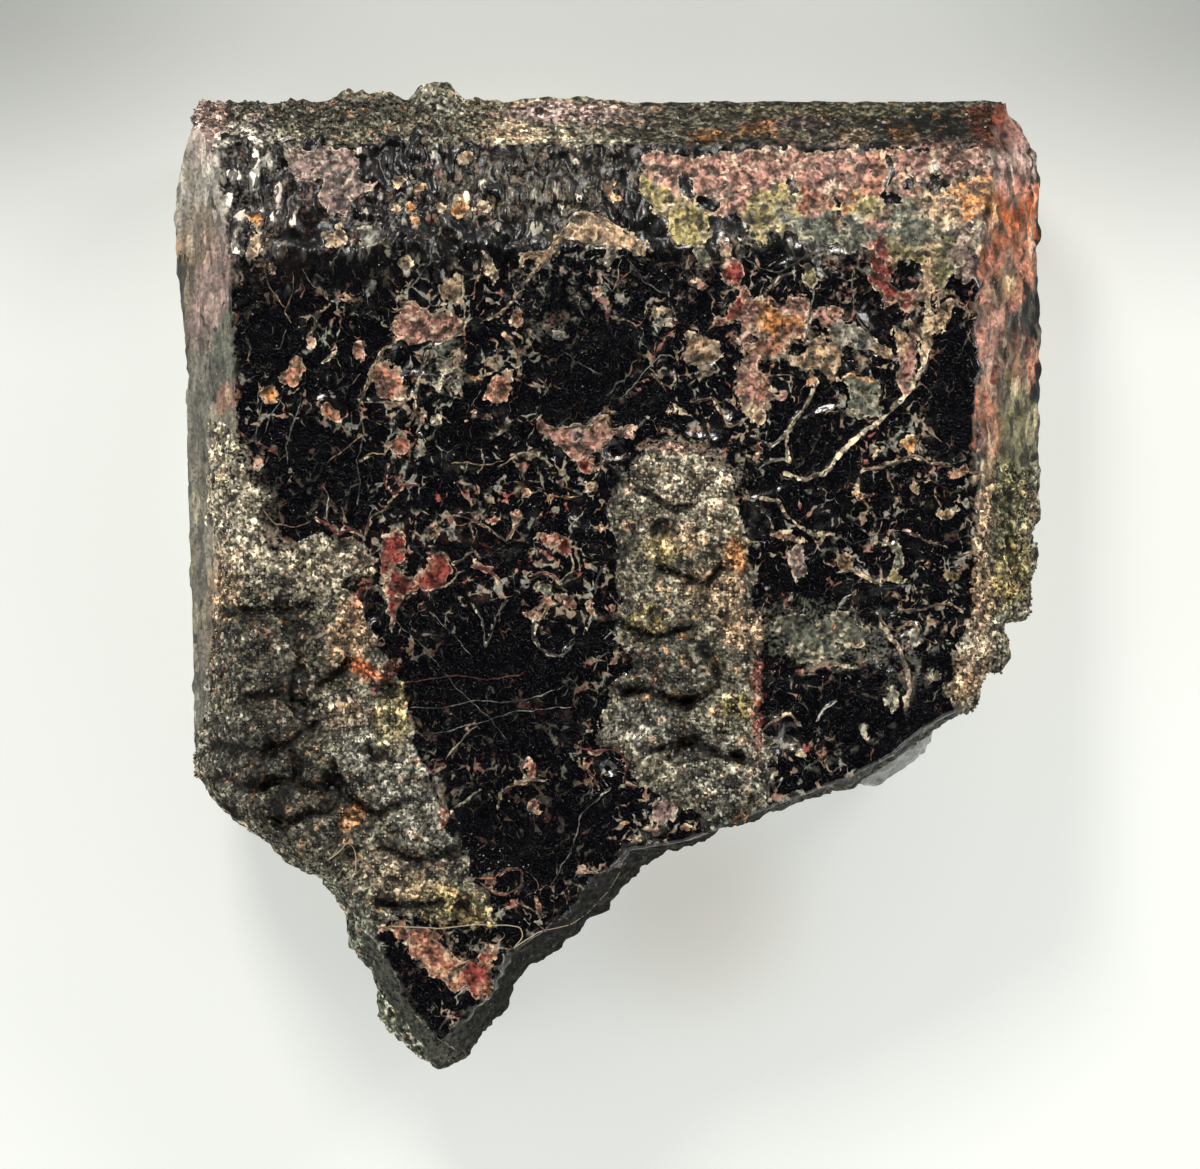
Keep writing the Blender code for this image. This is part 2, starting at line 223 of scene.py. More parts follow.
# The cuts leave the order of the corners and their last digits to chance. Both are settled
# here, or else each run would thin the skin in another way.
settled = [tuple(round(c, CORNER_DIGITS) for c in vertex.co) for vertex in crystal.data.vertices]
rings = []
for face in crystal.data.polygons:
    ring = [settled[index] for index in face.vertices]
    start = ring.index(min(ring))
    rings.append(ring[start:] + ring[:start])
settled = sorted(set(settled))
rings = [[settled.index(corner) for corner in ring] for ring in sorted(rings)]
crystal.data.clear_geometry()
crystal.data.from_pydata(settled, [], rings)

grid = crystal.modifiers.new("even skin", "REMESH")
grid.mode = "VOXEL"
grid.voxel_size = SKIN_SPACING
bpy.ops.object.modifier_apply(modifier=grid.name)

# The relief of the faces
# What grew on the faces or was etched out of them: healed cracks that stand as rims,
# pits, pebbled slopes, grooves along the edges, and three rough crusts.

TOP_LUMPS = [(-4.8, 0.56, 0.85), (-6.8, 0.25, 1.5), (-1.2, 0.14, 2.2)]
LEFT_CRUST = [
    (-11.1, 4.3), (-10.5, 4.2), (-10.3, 3.4), (-10.1, 2.6), (-9.5, 2.3), (-9.7, 1.9), (-9.6, 1.1),
    (-9.2, 0.6),
    (-8.6, 0.9), (-7.9, 1.2), (-7.3, 1.1), (-6.7, 0.9), (-6.6, 0.3), (-7.4, 0.0), (-7.3, -0.2),
    (-6.9, -0.5), (-6.4, -1.8), (-6.0, -2.5), (-5.7, -3.0), (-5.4, -4.0), (-5.4, -4.8),
    (-5.0, -5.4), (-4.9, -6.2), (-4.4, -7.2), (-3.9, -7.7), (-3.8, -8.4), (-3.4, -8.9),
    (-3.0, -9.6), (-4.9, -9.5), (-6.4, -9.5), (-6.9, -10.2), (-6.5, -11.4), (-5.6, -12.6),
    (-4.9, -13.6), (-6.0, -14.0), (-9.0, -10.0), (-9.6, -8.0), (-12.6, -6.6), (-12.4, -5.0),
    (-11.6, -4.9), (-11.35, -4.0), (-11.2, -3.0), (-10.9, -1.0), (-10.8, 0.4), (-11.1, 1.5),
]
MIDDLE_CRUST = [
    (0.9, 3.3), (1.4, 3.8), (2.0, 3.7), (2.6, 3.3), (3.1, 3.1), (3.5, 2.7), (3.6, 2.0), (3.6, 1.6),
    (3.9, 1.1), (3.9, 0.5), (4.1, 0.0), (4.0, -0.8), (4.5, -1.5), (4.2, -2.0), (4.3, -3.0),
    (4.2, -3.9), (4.6, -4.5), (4.5, -5.3), (4.5, -6.2), (3.8, -6.8), (2.6, -7.1), (2.6, -6.6),
    (2.1, -6.2), (1.3, -6.0), (0.8, -5.6), (0.5, -5.0), (-0.3, -4.6), (-0.4, -4.3), (0.0, -4.0),
    (0.0, -3.4), (0.5, -2.8), (0.9, -2.1), (0.3, -1.6), (0.2, -1.0), (0.6, -0.6), (0.3, -0.1),
    (0.4, 0.6), (0.1, 1.4), (0.0, 2.0), (0.4, 2.4), (0.6, 2.9),
]
RIGHT_CRUST = [
    (10.5, 2.2), (10.9, 3.3), (11.6, 3.0), (12.7, 3.4), (12.9, -0.5), (12.2, -2.6), (10.8, -4.0),
    (9.9, -4.0), (9.4, -3.2), (9.9, -2.4), (9.7, -1.7), (10.2, -1.2), (10.4, 0.2), (10.3, 1.2),
]
CRUST_HEIGHT = 0.14
HOLLOW_SHARE = 0.4
WALL_SIZE = 1.5
SMALL_WALL_SIZE = 0.6
DRIFT_SIZE = 1.2

# Healed cracks and threads of light mineral: colour, half width, and where they run.
PAINTED_LINE = 0.045
BROAD_LINE = 0.08
LINES = [
    ("cream", 0.11, [(9.0, 6.6), (8.85, 5.95), (8.5, 5.3), (8.0, 4.8), (7.4, 4.2), (6.8, 3.8),
                     (6.4, 3.3), (6.05, 2.9), (5.5, 2.72), (5.0, 2.95)]),
    ("tan", 0.09, [(9.0, 9.4), (9.05, 8.4), (8.95, 7.2), (8.85, 6.4)]),
    ("cream", 0.06, [(5.9, 5.5), (5.6, 4.9), (5.25, 4.4), (5.0, 4.0), (5.05, 3.2)]),
    ("ash", 0.05, [(4.0, 3.95), (4.6, 3.7), (4.9, 3.9), (5.2, 4.2)]),
    ("ash", 0.05, [(4.2, 3.0), (4.6, 3.3), (5.0, 3.3)]),
    ("tan", 0.07, [(7.15, 3.05), (7.7, 3.1), (8.2, 3.25), (8.6, 3.4), (9.0, 3.2), (9.5, 3.15),
                   (9.8, 3.0), (10.2, 2.95), (10.6, 2.9)]),
    ("tan", 0.06, [(7.8, 3.0), (7.9, 2.65), (8.0, 2.4)]),
    ("tan", 0.05, [(7.0, 2.8), (7.05, 2.4)]),
    ("tan", 0.08, [(4.2, 2.25), (4.75, 2.2), (5.0, 1.75), (5.3, 1.45), (5.7, 1.25), (6.4, 1.2)]),
    ("ash", 0.04, [(6.4, 1.2), (6.9, 0.95), (7.4, 1.15), (7.8, 1.3)]),
    ("tan", 0.09, [(6.4, 0.75), (6.7, 0.25), (7.1, 0.05), (7.5, -0.1), (7.95, 0.0)]),
    ("salmon", 0.08, [(7.85, 0.95), (7.85, 1.3), (8.3, 1.35), (8.55, 1.2)]),
    ("tan", 0.05, [(8.5, 1.3), (8.9, 1.05), (9.5, 0.85)]),
    ("tan", 0.07, [(9.5, 0.55), (9.9, 0.6), (10.2, 0.72), (10.45, 0.5)]),
    ("tan", 0.06, [(8.1, -0.85), (8.75, -0.9), (9.2, -0.75), (9.6, -0.72), (9.95, -0.95)]),
    ("cream", 0.09, [(5.7, -2.35), (6.3, -2.38), (7.05, -2.5)]),
    ("ash", 0.05, [(7.05, -2.5), (7.4, -2.2), (7.7, -2.2)]),
    ("tan", 0.07, [(7.6, -0.95), (7.7, -1.3), (8.1, -1.5), (8.5, -1.2), (8.7, -1.5), (8.6, -1.8)]),
    ("mauve", 0.11, [(7.7, -1.35), (8.1, -1.9), (8.35, -2.5), (8.4, -3.1), (8.35, -3.7)]),
    ("tan", 0.06, [(4.4, -4.2), (4.9, -3.85), (5.15, -3.8), (5.4, -4.1)]),
    ("white", 0.05, [(5.85, -4.0), (6.05, -3.65), (6.45, -3.4)]),
    ("white", 0.045, [(4.7, -5.95), (4.95, -5.55)]),
    ("white", 0.05, [(6.35, -0.95), (6.6, -0.6), (6.85, -0.45)]),
    ("tan", 0.07, [(-6.9, 4.7), (-6.75, 5.2), (-6.5, 5.9), (-6.2, 6.35), (-5.9, 6.6)]),
    ("cream", 0.07, [(-5.0, 6.3), (-5.2, 5.7), (-5.35, 5.1), (-5.75, 4.9), (-6.1, 4.85)]),
    ("cream", 0.06, [(-4.0, 8.3), (-3.98, 7.6), (-4.0, 6.9), (-4.6, 6.55)]),
    ("tan", 0.05, [(-5.3, 5.3), (-5.35, 4.7), (-5.5, 4.2)]),
    ("ash", 0.03, [(-9.6, 4.9), (-9.75, 4.3), (-9.8, 3.85), (-10.2, 3.75)]),
    ("ash", 0.03, [(-9.1, 4.9), (-9.4, 4.5), (-9.55, 4.0)]),
    ("ash", 0.035, [(-8.5, 4.9), (-8.7, 4.3), (-8.9, 3.7), (-8.9, 3.2)]),
    ("tan", 0.035, [(-6.95, 4.8), (-6.75, 4.0), (-7.3, 3.6), (-7.8, 3.2)]),
    ("ash", 0.035, [(-6.75, 4.0), (-6.95, 3.3), (-6.85, 2.7), (-6.9, 2.0)]),
    ("tan", 0.05, [(-6.9, 3.25), (-6.5, 3.45), (-6.2, 3.4), (-6.0, 3.7)]),
    ("red", 0.07, [(-6.1, 3.2), (-6.15, 2.6), (-5.9, 2.3), (-5.6, 2.6), (-5.2, 2.55)]),
    ("white", 0.035, [(-7.9, 2.55), (-7.75, 2.25), (-7.75, 1.7)]),
    ("tan", 0.035, [(-9.6, 1.9), (-9.25, 1.5), (-8.6, 1.42), (-8.2, 1.6)]),
    ("red", 0.07, [(-8.15, 1.7), (-7.8, 1.5), (-7.5, 1.2), (-7.2, 1.38), (-6.8, 1.2)]),
    ("tan", 0.045, [(-6.75, 1.1), (-6.6, 1.7), (-6.2, 1.9), (-5.9, 2.3)]),
    ("red", 0.1, [(-6.3, -0.1), (-5.9, 0.05), (-5.4, -0.1), (-5.0, 0.0), (-4.7, 0.3)]),
    ("red", 0.1, [(-5.85, -0.4), (-5.9, -0.9), (-5.98, -1.35)]),
    ("cream", 0.04, [(-4.9, -0.3), (-4.5, -0.25), (-4.1, 0.15), (-3.9, 0.2)]),
    ("tan", 0.05, [(-4.7, 0.75), (-4.3, 0.45), (-4.0, 0.5), (-3.7, 0.75), (-3.5, 0.5)]),
    ("red", 0.07, [(-3.8, 0.3), (-3.4, 0.25), (-3.1, 0.1), (-2.9, -0.2)]),
    ("tan", 0.05, [(-4.6, 1.7), (-4.2, 1.75), (-3.6, 1.55), (-3.2, 1.3), (-2.8, 1.05), (-2.45, 1.5)]),
    ("ash", 0.05, [(-3.75, -0.7), (-3.45, -1.2), (-3.35, -1.95), (-3.1, -1.1), (-2.75, -0.6)]),
    ("rust", 0.035, [(-5.7, -2.9), (-4.9, -2.8), (-4.0, -2.73), (-3.0, -2.85), (-2.2, -2.6)]),
    ("ash", 0.03, [(-5.5, -3.62), (-4.5, -3.6), (-3.7, -3.4), (-3.0, -3.5), (-2.1, -3.35),
                   (-1.15, -3.0)]),
    ("ash", 0.025, [(-5.2, -4.4), (-4.3, -4.25), (-3.5, -4.0), (-2.5, -3.72), (-1.0, -3.6)]),
    ("ash", 0.02, [(-5.9, -1.2), (-5.0, -2.0), (-4.3, -2.9), (-3.3, -3.9), (-2.7, -4.6)]),
    ("ash", 0.02, [(-4.8, -1.0), (-4.2, -1.7), (-3.7, -2.2)]),
    ("cream", 0.035, [(-4.45, -5.0), (-3.95, -4.4), (-3.6, -4.15)]),
    ("cream", 0.06, [(-4.35, -6.5), (-3.9, -6.2), (-3.5, -5.88)]),
    ("ash", 0.03, [(-4.9, -5.5), (-4.4, -5.2)]),
    ("ash", 0.03, [(-4.15, -5.35), (-3.9, -5.2)]),
    ("tan", 0.05, [(-3.05, -6.4), (-2.95, -5.95), (-2.5, -5.72), (-2.1, -5.6), (-1.7, -5.62)]),
    ("salmon", 0.06, [(-3.6, -8.4), (-3.1, -8.35), (-2.65, -8.05), (-2.35, -8.15), (-2.35, -8.6),
                      (-2.8, -8.85), (-3.2, -8.75), (-3.6, -8.45)]),
    ("ash", 0.035, [(-1.6, -8.6), (-1.3, -8.2), (-0.9, -7.4), (-0.65, -6.5), (0.15, -5.8)]),
    ("white", 0.04, [(-0.55, -6.4), (0.15, -5.8)]),
    ("red", 0.06, [(-0.9, -4.65), (-0.3, -4.85), (0.3, -4.75), (0.6, -5.2), (0.45, -5.7),
                   (0.9, -5.85)]),
    ("orange", 0.06, [(-0.7, -5.2), (-0.45, -5.45), (-0.2, -5.85)]),
    ("tan", 0.06, [(-2.5, 9.0), (-1.7, 9.0), (-1.35, 9.5), (-1.15, 9.75)]),
    ("tan", 0.05, [(-1.6, 9.0), (-1.9, 8.6), (-2.3, 8.2), (-2.6, 7.7), (-3.0, 7.3), (-3.5, 7.15)]),
    ("tan", 0.06, [(-2.75, 6.8), (-2.5, 6.3), (-2.45, 5.9), (-2.6, 5.85)]),
    ("cream", 0.04, [(0.4, 8.9), (0.35, 8.3), (0.15, 8.0), (-0.1, 8.3)]),
    ("ash", 0.03, [(0.6, 8.9), (1.0, 8.3), (1.4, 8.0), (1.8, 7.9)]),
    ("tan", 0.045, [(1.2, 5.85), (1.55, 5.4), (1.8, 5.3), (1.95, 5.8)]),
    ("ash", 0.035, [(0.4, 5.0), (0.7, 5.3), (1.0, 5.7), (1.5, 6.2), (2.0, 6.1)]),
    ("ash", 0.03, [(-1.3, 6.35), (-0.6, 5.9), (-0.1, 5.6)]),
    ("tan", 0.05, [(2.3, 4.9), (3.0, 5.0), (3.2, 4.6), (3.4, 4.25), (3.9, 4.3)]),
    ("tan", 0.06, [(-1.2, 4.15), (-0.6, 4.2), (-0.05, 4.5), (0.15, 4.1), (0.8, 4.2)]),
    ("ash", 0.06, [(0.8, 4.15), (1.15, 4.5)]),
    ("cream", 0.045, [(-0.1, 3.6), (-0.2, 3.0), (-0.4, 2.7)]),
    ("orange", 0.05, [(-1.7, 2.1), (-1.5, 2.3), (-1.0, 2.2), (-0.7, 2.3)]),
    ("ash", 0.05, [(-0.7, 2.3), (-0.5, 2.5)]),
    ("cream", 0.05, [(-3.0, 3.1), (-2.7, 3.3), (-2.3, 3.5), (-1.9, 3.4), (-1.5, 3.1)]),
    ("cream", 0.045, [(-0.35, -0.6), (-0.4, -1.0), (-0.6, -1.55)]),
    ("ash", 0.045, [(0.0, 0.4), (-0.25, 0.0), (-0.35, -0.5)]),
    ("ash", 0.05, [(-2.0, -1.1), (-2.05, -1.7), (-1.6, -2.15), (-1.3, -2.2), (-0.9, -1.8)]),
    ("cream", 0.04, [(-1.0, 0.9), (-0.95, 0.2), (-1.4, -0.15)]),
    ("salmon", 0.06, [(-2.2, 0.05), (-1.8, 0.15), (-1.5, 0.1), (-1.3, -0.2)]),
    ("tan", 0.05, [(-1.8, -1.15), (-1.6, -0.8), (-1.3, -0.7)]),
    ("ash", 0.045, [(-0.35, -2.6), (-0.2, -2.2), (0.1, -2.05)]),
    ("ash", 0.04, [(3.9, 8.85), (4.4, 8.6), (4.8, 8.5), (5.3, 8.8), (5.9, 9.2)]),
    ("mauve", 0.06, [(4.5, 8.0), (4.9, 8.4), (5.2, 8.55)]),
    ("ash", 0.05, [(5.8, 8.1), (5.7, 7.6), (5.6, 7.0), (5.5, 6.5)]),
    ("tan", 0.06, [(8.1, 7.8), (8.5, 7.65), (8.9, 7.8)]),
    ("ash", 0.04, [(6.9, 8.7), (6.8, 8.0), (7.0, 7.2), (7.4, 6.7), (7.8, 6.3)]),
    ("tan", 0.07, [(7.6, 6.3), (8.0, 6.12)]),
    ("tan", 0.035, [(-8.75, 8.5), (-8.7, 8.0), (-8.95, 7.4), (-8.8, 7.1)]),
    ("ash", 0.03, [(-8.5, 8.6), (-8.2, 8.1), (-7.95, 8.1)]),
    ("tan", 0.035, [(-9.65, 8.9), (-9.35, 8.0), (-8.9, 7.5)]),
    ("tan", 0.045, [(-7.7, 7.65), (-8.1, 7.2), (-8.2, 6.7)]),
    ("ash", 0.035, [(-8.9, 6.9), (-9.1, 6.4), (-9.4, 6.35)]),
    ("cream", 0.05, [(-7.9, 6.0), (-7.6, 6.2), (-7.5, 6.4)]),
    ("ash", 0.04, [(-4.85, 9.5), (-4.9, 8.9), (-5.2, 8.4), (-5.5, 8.0)]),
    ("ash", 0.03, [(-6.85, 5.7), (-7.1, 5.4), (-7.5, 5.2)]),
    ("tan", 0.035, [(-4.35, 3.2), (-3.9, 3.2), (-3.2, 3.15), (-2.8, 3.3)]),
    ("ash", 0.03, [(2.3, -3.95), (2.9, -3.9), (2.5, -4.0)]),
    ("tan", 0.05, [(-0.7, -8.15), (-0.3, -8.2), (0.1, -8.2)]),
    ("cream", 0.04, [(-5.3, -12.2), (-4.8, -12.7), (-4.2, -13.3)]),
    ("ash", 0.06, [(-4.7, -12.6), (-4.3, -12.15)]),
]

# Patches of clay and iron stain that fill old pits: colour, place, half sizes, turn.
PATCHES = [
    ("mauve", -8.3, 11.55, 0.65, 0.45, 0), ("mauve", -7.45, 11.4, 0.5, 0.6, 0),
    ("mauve", -7.55, 10.5, 0.35, 0.5, 10), ("mauve", -6.8, 10.95, 0.5, 0.16, 10),
    ("pink", -5.3, 7.05, 0.6, 0.45, -10), ("pink", -4.5, 7.1, 0.5, 0.35, 10),
    ("tan", -4.35, 8.0, 0.3, 0.35, 20), ("salmon", -6.15, 5.5, 0.5, 0.28, -40),
    ("pink", -5.85, 5.15, 0.35, 0.22, 20), ("ash", -4.5, 6.0, 0.3, 0.2, 0),
    ("tan", -4.1, 6.1, 0.2, 0.25, 0), ("ash", -4.15, 5.4, 0.15, 0.25, 0),
    ("ash", -4.75, 5.4, 0.15, 0.25, 0), ("tan", -5.6, 8.7, 0.24, 0.2, 0),
    ("salmon", -8.7, 5.75, 0.26, 0.42, -10), ("orange", -9.4, 5.2, 0.22, 0.18, 30),
    ("salmon", -7.75, 4.65, 0.3, 0.17, -30), ("pink", -6.9, 6.3, 0.22, 0.25, 0),
    ("salmon", -7.2, 7.85, 0.13, 0.13, 0), ("pink", -8.2, 6.6, 0.15, 0.2, 0),
    ("orange", -9.8, 10.0, 0.24, 0.2, 0), ("tan", -9.8, 9.2, 0.16, 0.5, -20),
    ("rust", -9.3, 8.6, 0.12, 0.32, 0), ("tan", -7.5, 9.5, 0.3, 0.27, 20),
    ("ash", -6.5, 9.5, 0.4, 0.3, 10), ("tan", -5.85, 10.3, 0.16, 0.16, 0),
    ("orange", -5.45, 10.35, 0.14, 0.2, 0), ("orange", -5.35, 9.95, 0.14, 0.14, 0),
    ("orange", -5.2, 10.9, 0.2, 0.15, 0), ("tan", -4.6, 10.3, 0.16, 0.16, 0),
    ("orange", -4.15, 10.35, 0.26, 0.22, 0), ("tan", -3.45, 10.3, 0.26, 0.2, 0),
    ("tan", -5.8, 11.1, 0.25, 0.14, 0), ("tan", -3.9, 11.7, 0.2, 0.25, 0),
    ("tan", -3.3, 8.6, 0.16, 0.45, 8), ("salmon", -3.05, 5.3, 0.28, 0.42, 15),
    ("orange", -3.65, 5.5, 0.13, 0.12, 0), ("red", -3.8, 4.5, 0.2, 0.09, 50),
    ("pink", -5.15, 4.45, 0.14, 0.2, 0), ("ash", -4.75, 4.4, 0.1, 0.17, 0),
    ("salmon", -5.8, 3.65, 0.28, 0.28, 0), ("ash", -5.2, 3.6, 0.14, 0.25, -20),
    ("salmon", -9.7, 3.2, 0.12, 0.25, 0), ("white", -9.58, 3.1, 0.05, 0.22, 0),
    ("white", -8.85, 2.95, 0.05, 0.16, 0), ("red", -9.85, 2.4, 0.28, 0.08, 0),
    ("salmon", -7.3, 1.0, 0.5, 0.16, 0), ("red", -5.95, 0.9, 0.38, 0.3, 0),
    ("red", -5.65, -0.05, 0.65, 0.17, 0), ("salmon", -4.7, 0.25, 0.33, 0.36, -20),
    ("orange", -4.8, 1.3, 0.16, 0.22, 0), ("ash", -4.4, 1.2, 0.14, 0.14, 0),
    ("salmon", -5.95, -1.0, 0.12, 0.38, 0), ("red", -3.45, 0.3, 0.26, 0.14, 0),
    ("red", -3.25, 1.65, 0.18, 0.14, 0), ("salmon", -2.5, 1.65, 0.12, 0.2, 0),
    ("red", -6.3, -1.7, 0.14, 0.14, 0), ("red", -3.8, -4.15, 0.22, 0.1, 30),
    ("salmon", -2.2, 2.3, 0.15, 0.15, 0), ("red", -1.65, 1.05, 0.3, 0.2, -10),
    ("red", -1.2, 0.85, 0.25, 0.15, -40), ("red", -1.05, -0.6, 0.22, 0.22, 0),
    ("salmon", -1.7, -0.7, 0.25, 0.18, 40), ("red", -2.1, -1.05, 0.32, 0.13, 0),
    ("salmon", -0.45, -0.85, 0.11, 0.2, 0), ("sage", -1.7, -0.3, 0.3, 0.2, 0),
    ("mauve", -0.8, 3.85, 0.5, 0.35, -15), ("pink", -0.2, 4.2, 0.35, 0.22, 30),
    ("red", -0.5, 3.1, 0.25, 0.18, 0), ("pink", -1.75, 4.2, 0.16, 0.35, 10),
    ("tan", -0.4, 2.5, 0.15, 0.2, 0), ("orange", -0.2, 1.35, 0.1, 0.14, 0),
    ("pink", 4.2, 11.35, 0.5, 0.5, 0), ("pink", 3.3, 11.3, 0.75, 0.5, -5),
    ("pink", 2.55, 11.15, 0.42, 0.45, 30), ("pink", 3.5, 10.45, 0.32, 0.4, 10),
    ("pink", 1.55, 11.4, 0.36, 0.38, 0), ("ochre", 1.15, 10.9, 0.25, 0.16, 0),
    ("ochre", 2.25, 9.95, 0.45, 0.4, -30), ("ochre", 2.45, 9.55, 0.45, 0.22, 0),
    ("ochre", 4.3, 10.2, 0.4, 0.55, 20), ("ochre", 4.9, 10.65, 0.45, 0.2, 0),
    ("sage", 4.8, 10.25, 0.45, 0.3, 0), ("sage", 5.9, 9.6, 0.5, 0.6, 0),
    ("sage", 6.9, 9.6, 0.5, 0.5, 0), ("pink", 5.85, 11.2, 0.5, 0.55, 0),
    ("salmon", 5.7, 10.6, 0.4, 0.4, 0), ("pink", 6.3, 10.85, 0.25, 0.3, 0),
    ("pink", 7.3, 11.45, 0.45, 0.45, 0), ("salmon", 7.35, 11.0, 0.25, 0.25, 0),
    ("orange", 6.75, 10.4, 0.3, 0.18, 0), ("ochre", 7.1, 10.3, 0.3, 0.25, 0),
    ("pink", 7.3, 9.85, 0.4, 0.18, 0), ("tan", 6.5, 9.9, 0.28, 0.18, 20),
    ("pink", 8.7, 11.4, 0.55, 0.4, 0), ("pink", 9.8, 11.5, 0.6, 0.4, 10),
    ("tan", 9.15, 10.55, 0.3, 0.32, 0), ("orange", 10.35, 10.8, 0.4, 0.35, -30),
    ("sage", 8.6, 9.7, 0.5, 0.5, 0), ("mauve", 9.95, 8.8, 0.4, 0.5, 0),
    ("olive", 9.35, 8.7, 0.25, 0.45, 0), ("red", 7.55, 8.85, 0.26, 0.5, 25),
    ("red", 7.85, 8.1, 0.26, 0.45, 25), ("ochre", 8.3, 9.05, 0.5, 0.22, 0),
    ("tan", 8.95, 8.9, 0.12, 0.4, 0), ("tan", 9.35, 7.35, 0.22, 0.55, -25),
    ("tan", 8.2, 6.6, 0.18, 0.35, 10), ("pink", 8.35, 5.8, 0.2, 0.6, 0),
    ("sage", 7.15, 5.0, 0.42, 0.55, 0), ("orange", 7.1, 5.6, 0.45, 0.08, 0),
    ("orange", 4.7, 7.15, 0.55, 0.35, 20), ("salmon", 4.6, 6.65, 0.5, 0.25, 0),
    ("pink", 5.15, 7.6, 0.35, 0.25, -20), ("tan", 5.2, 6.2, 0.4, 0.16, 0),
    ("tan", 6.1, 6.25, 0.36, 0.38, 0), ("pink", 6.2, 7.2, 0.2, 0.2, 0),
    ("ash", 6.6, 6.8, 0.3, 0.3, 0), ("orange", 5.7, 5.5, 0.12, 0.18, -20),
    ("salmon", 4.3, 5.3, 0.3, 0.5, 15), ("pink", 4.8, 5.05, 0.26, 0.11, 10),
    ("tan", 4.2, 4.5, 0.2, 0.3, 10), ("olive", 5.7, 8.4, 0.2, 0.36, 0),
    ("red", 3.5, 8.55, 0.32, 0.5, 25), ("pink", 3.3, 9.1, 0.16, 0.35, 20),
    ("pink", 2.6, 8.2, 0.3, 0.16, -20), ("red", 3.5, 7.4, 0.3, 0.14, 40),
    ("red", 3.1, 7.15, 0.25, 0.12, 0), ("tan", 2.65, 6.45, 0.5, 0.36, -20),
    ("pink", 3.9, 6.9, 0.25, 0.6, 0), ("tan", 1.55, 7.4, 0.34, 0.12, 5),
    ("ash", 1.5, 7.1, 0.35, 0.16, 0), ("sage", 2.6, 9.0, 0.2, 0.35, 10),
    ("tan", 1.8, 4.7, 0.14, 0.16, 0), ("tan", 2.15, 4.6, 0.12, 0.14, 0),
    ("red", 4.25, 3.6, 0.18, 0.14, 0), ("ash", 0.05, 8.9, 0.2, 0.4, 0),
    ("pink", -0.25, 8.0, 0.12, 0.2, 0), ("tan", -0.3, 9.75, 0.6, 0.28, -15),
    ("tan", 0.8, 9.3, 0.4, 0.2, -30), ("orange", 0.1, 10.8, 0.2, 0.3, 20),
    ("tan", -2.4, 8.85, 0.2, 0.14, 0), ("tan", -1.85, 8.85, 0.3, 0.14, 0),
    ("salmon", -2.5, 7.25, 0.18, 0.35, 30), ("salmon", -2.75, 6.6, 0.12, 0.35, 25),
    ("ash", -1.4, 6.8, 0.4, 0.2, -20), ("mauve", -0.2, 8.45, 0.12, 0.3, 10),
    ("orange", 8.4, 3.8, 0.2, 0.22, 0), ("tan", 7.6, 3.5, 0.2, 0.12, 30),
    ("orange", 7.1, 2.25, 0.26, 0.14, -20), ("tan", 8.57, 2.43, 0.17, 0.17, 0),
    ("red", 8.95, 2.8, 0.08, 0.1, 0), ("tan", 9.37, 1.87, 0.18, 0.16, 0),
    ("tan", 9.8, 2.1, 0.16, 0.08, 30), ("tan", 8.62, 1.65, 0.07, 0.14, 0),
    ("tan", 7.05, 2.65, 0.09, 0.12, 0), ("salmon", 9.8, 2.95, 0.25, 0.16, 0),
    ("salmon", 5.0, 1.15, 0.4, 0.1, -5), ("mauve", 5.3, 0.5, 0.26, 0.5, 0),
    ("tan", 6.65, 0.45, 0.26, 0.26, 0), ("sage", 8.12, 0.55, 0.2, 0.42, 0),
    ("ochre", 8.05, 0.0, 0.24, 0.2, 0), ("orange", 7.6, 1.0, 0.14, 0.06, 0),
    ("orange", 8.9, 0.45, 0.1, 0.2, -20), ("ochre", 9.55, -0.07, 0.2, 0.16, 0),
    ("tan", 8.47, -0.5, 0.07, 0.13, 0), ("salmon", 6.25, -1.4, 0.22, 0.22, 0),
    ("sage", 5.4, -1.5, 0.75, 0.45, 0), ("sage", 6.6, -1.4, 0.7, 0.4, -10),
    ("sage", 5.8, -2.0, 0.9, 0.3, 0), ("salmon", 5.95, -1.95, 0.13, 0.2, 0),
    ("tan", 6.9, -1.85, 0.25, 0.12, -20), ("ash", 8.6, -1.7, 0.2, 0.3, 0),
    ("ash", 7.95, -3.35, 0.2, 0.3, 0), ("tan", 5.4, -5.0, 0.2, 0.07, 0),
    ("ash", 7.2, -4.3, 0.16, 0.2, 0), ("ash", 9.2, -2.7, 0.2, 0.1, 0),
    ("ochre", 10.45, -1.6, 0.4, 0.4, 0), ("tan", 10.2, -2.4, 0.3, 0.4, 0),
    ("mauve", 1.6, -6.5, 0.33, 0.42, -20), ("pink", 1.35, -7.05, 0.2, 0.12, 30),
    ("salmon", 2.3, -6.95, 0.25, 0.12, -30), ("cream", 2.35, -6.25, 0.26, 0.22, 20),
    ("red", -0.3, -4.85, 0.35, 0.1, 0), ("orange", -0.55, -5.1, 0.2, 0.12, -20),
    ("orange", 0.5, -6.8, 0.2, 0.14, 0), ("tan", 0.7, -7.3, 0.35, 0.1, 35),
    ("tan", 0.5, -8.0, 0.2, 0.08, 0), ("pink", -0.7, -8.1, 0.14, 0.14, 0),
    ("red", -1.87, -9.1, 0.12, 0.36, 0), ("red", -2.1, -5.35, 0.12, 0.22, 10),
    ("orange", -2.35, -5.65, 0.26, 0.08, 0), ("red", -1.9, -6.35, 0.09, 0.22, 10),
    ("red", -4.65, -6.75, 0.28, 0.4, 10), ("salmon", -5.1, -5.5, 0.2, 0.12, 0),
    ("salmon", -5.15, -10.25, 0.6, 0.42, -35), ("salmon", -4.5, -10.75, 0.6, 0.35, -25),
    ("red", -3.6, -11.1, 0.5, 0.5, 0), ("red", -3.3, -10.5, 0.25, 0.3, 0),
    ("salmon", -5.9, -9.75, 0.5, 0.12, 0), ("ochre", -4.7, -9.0, 0.5, 0.22, -20),
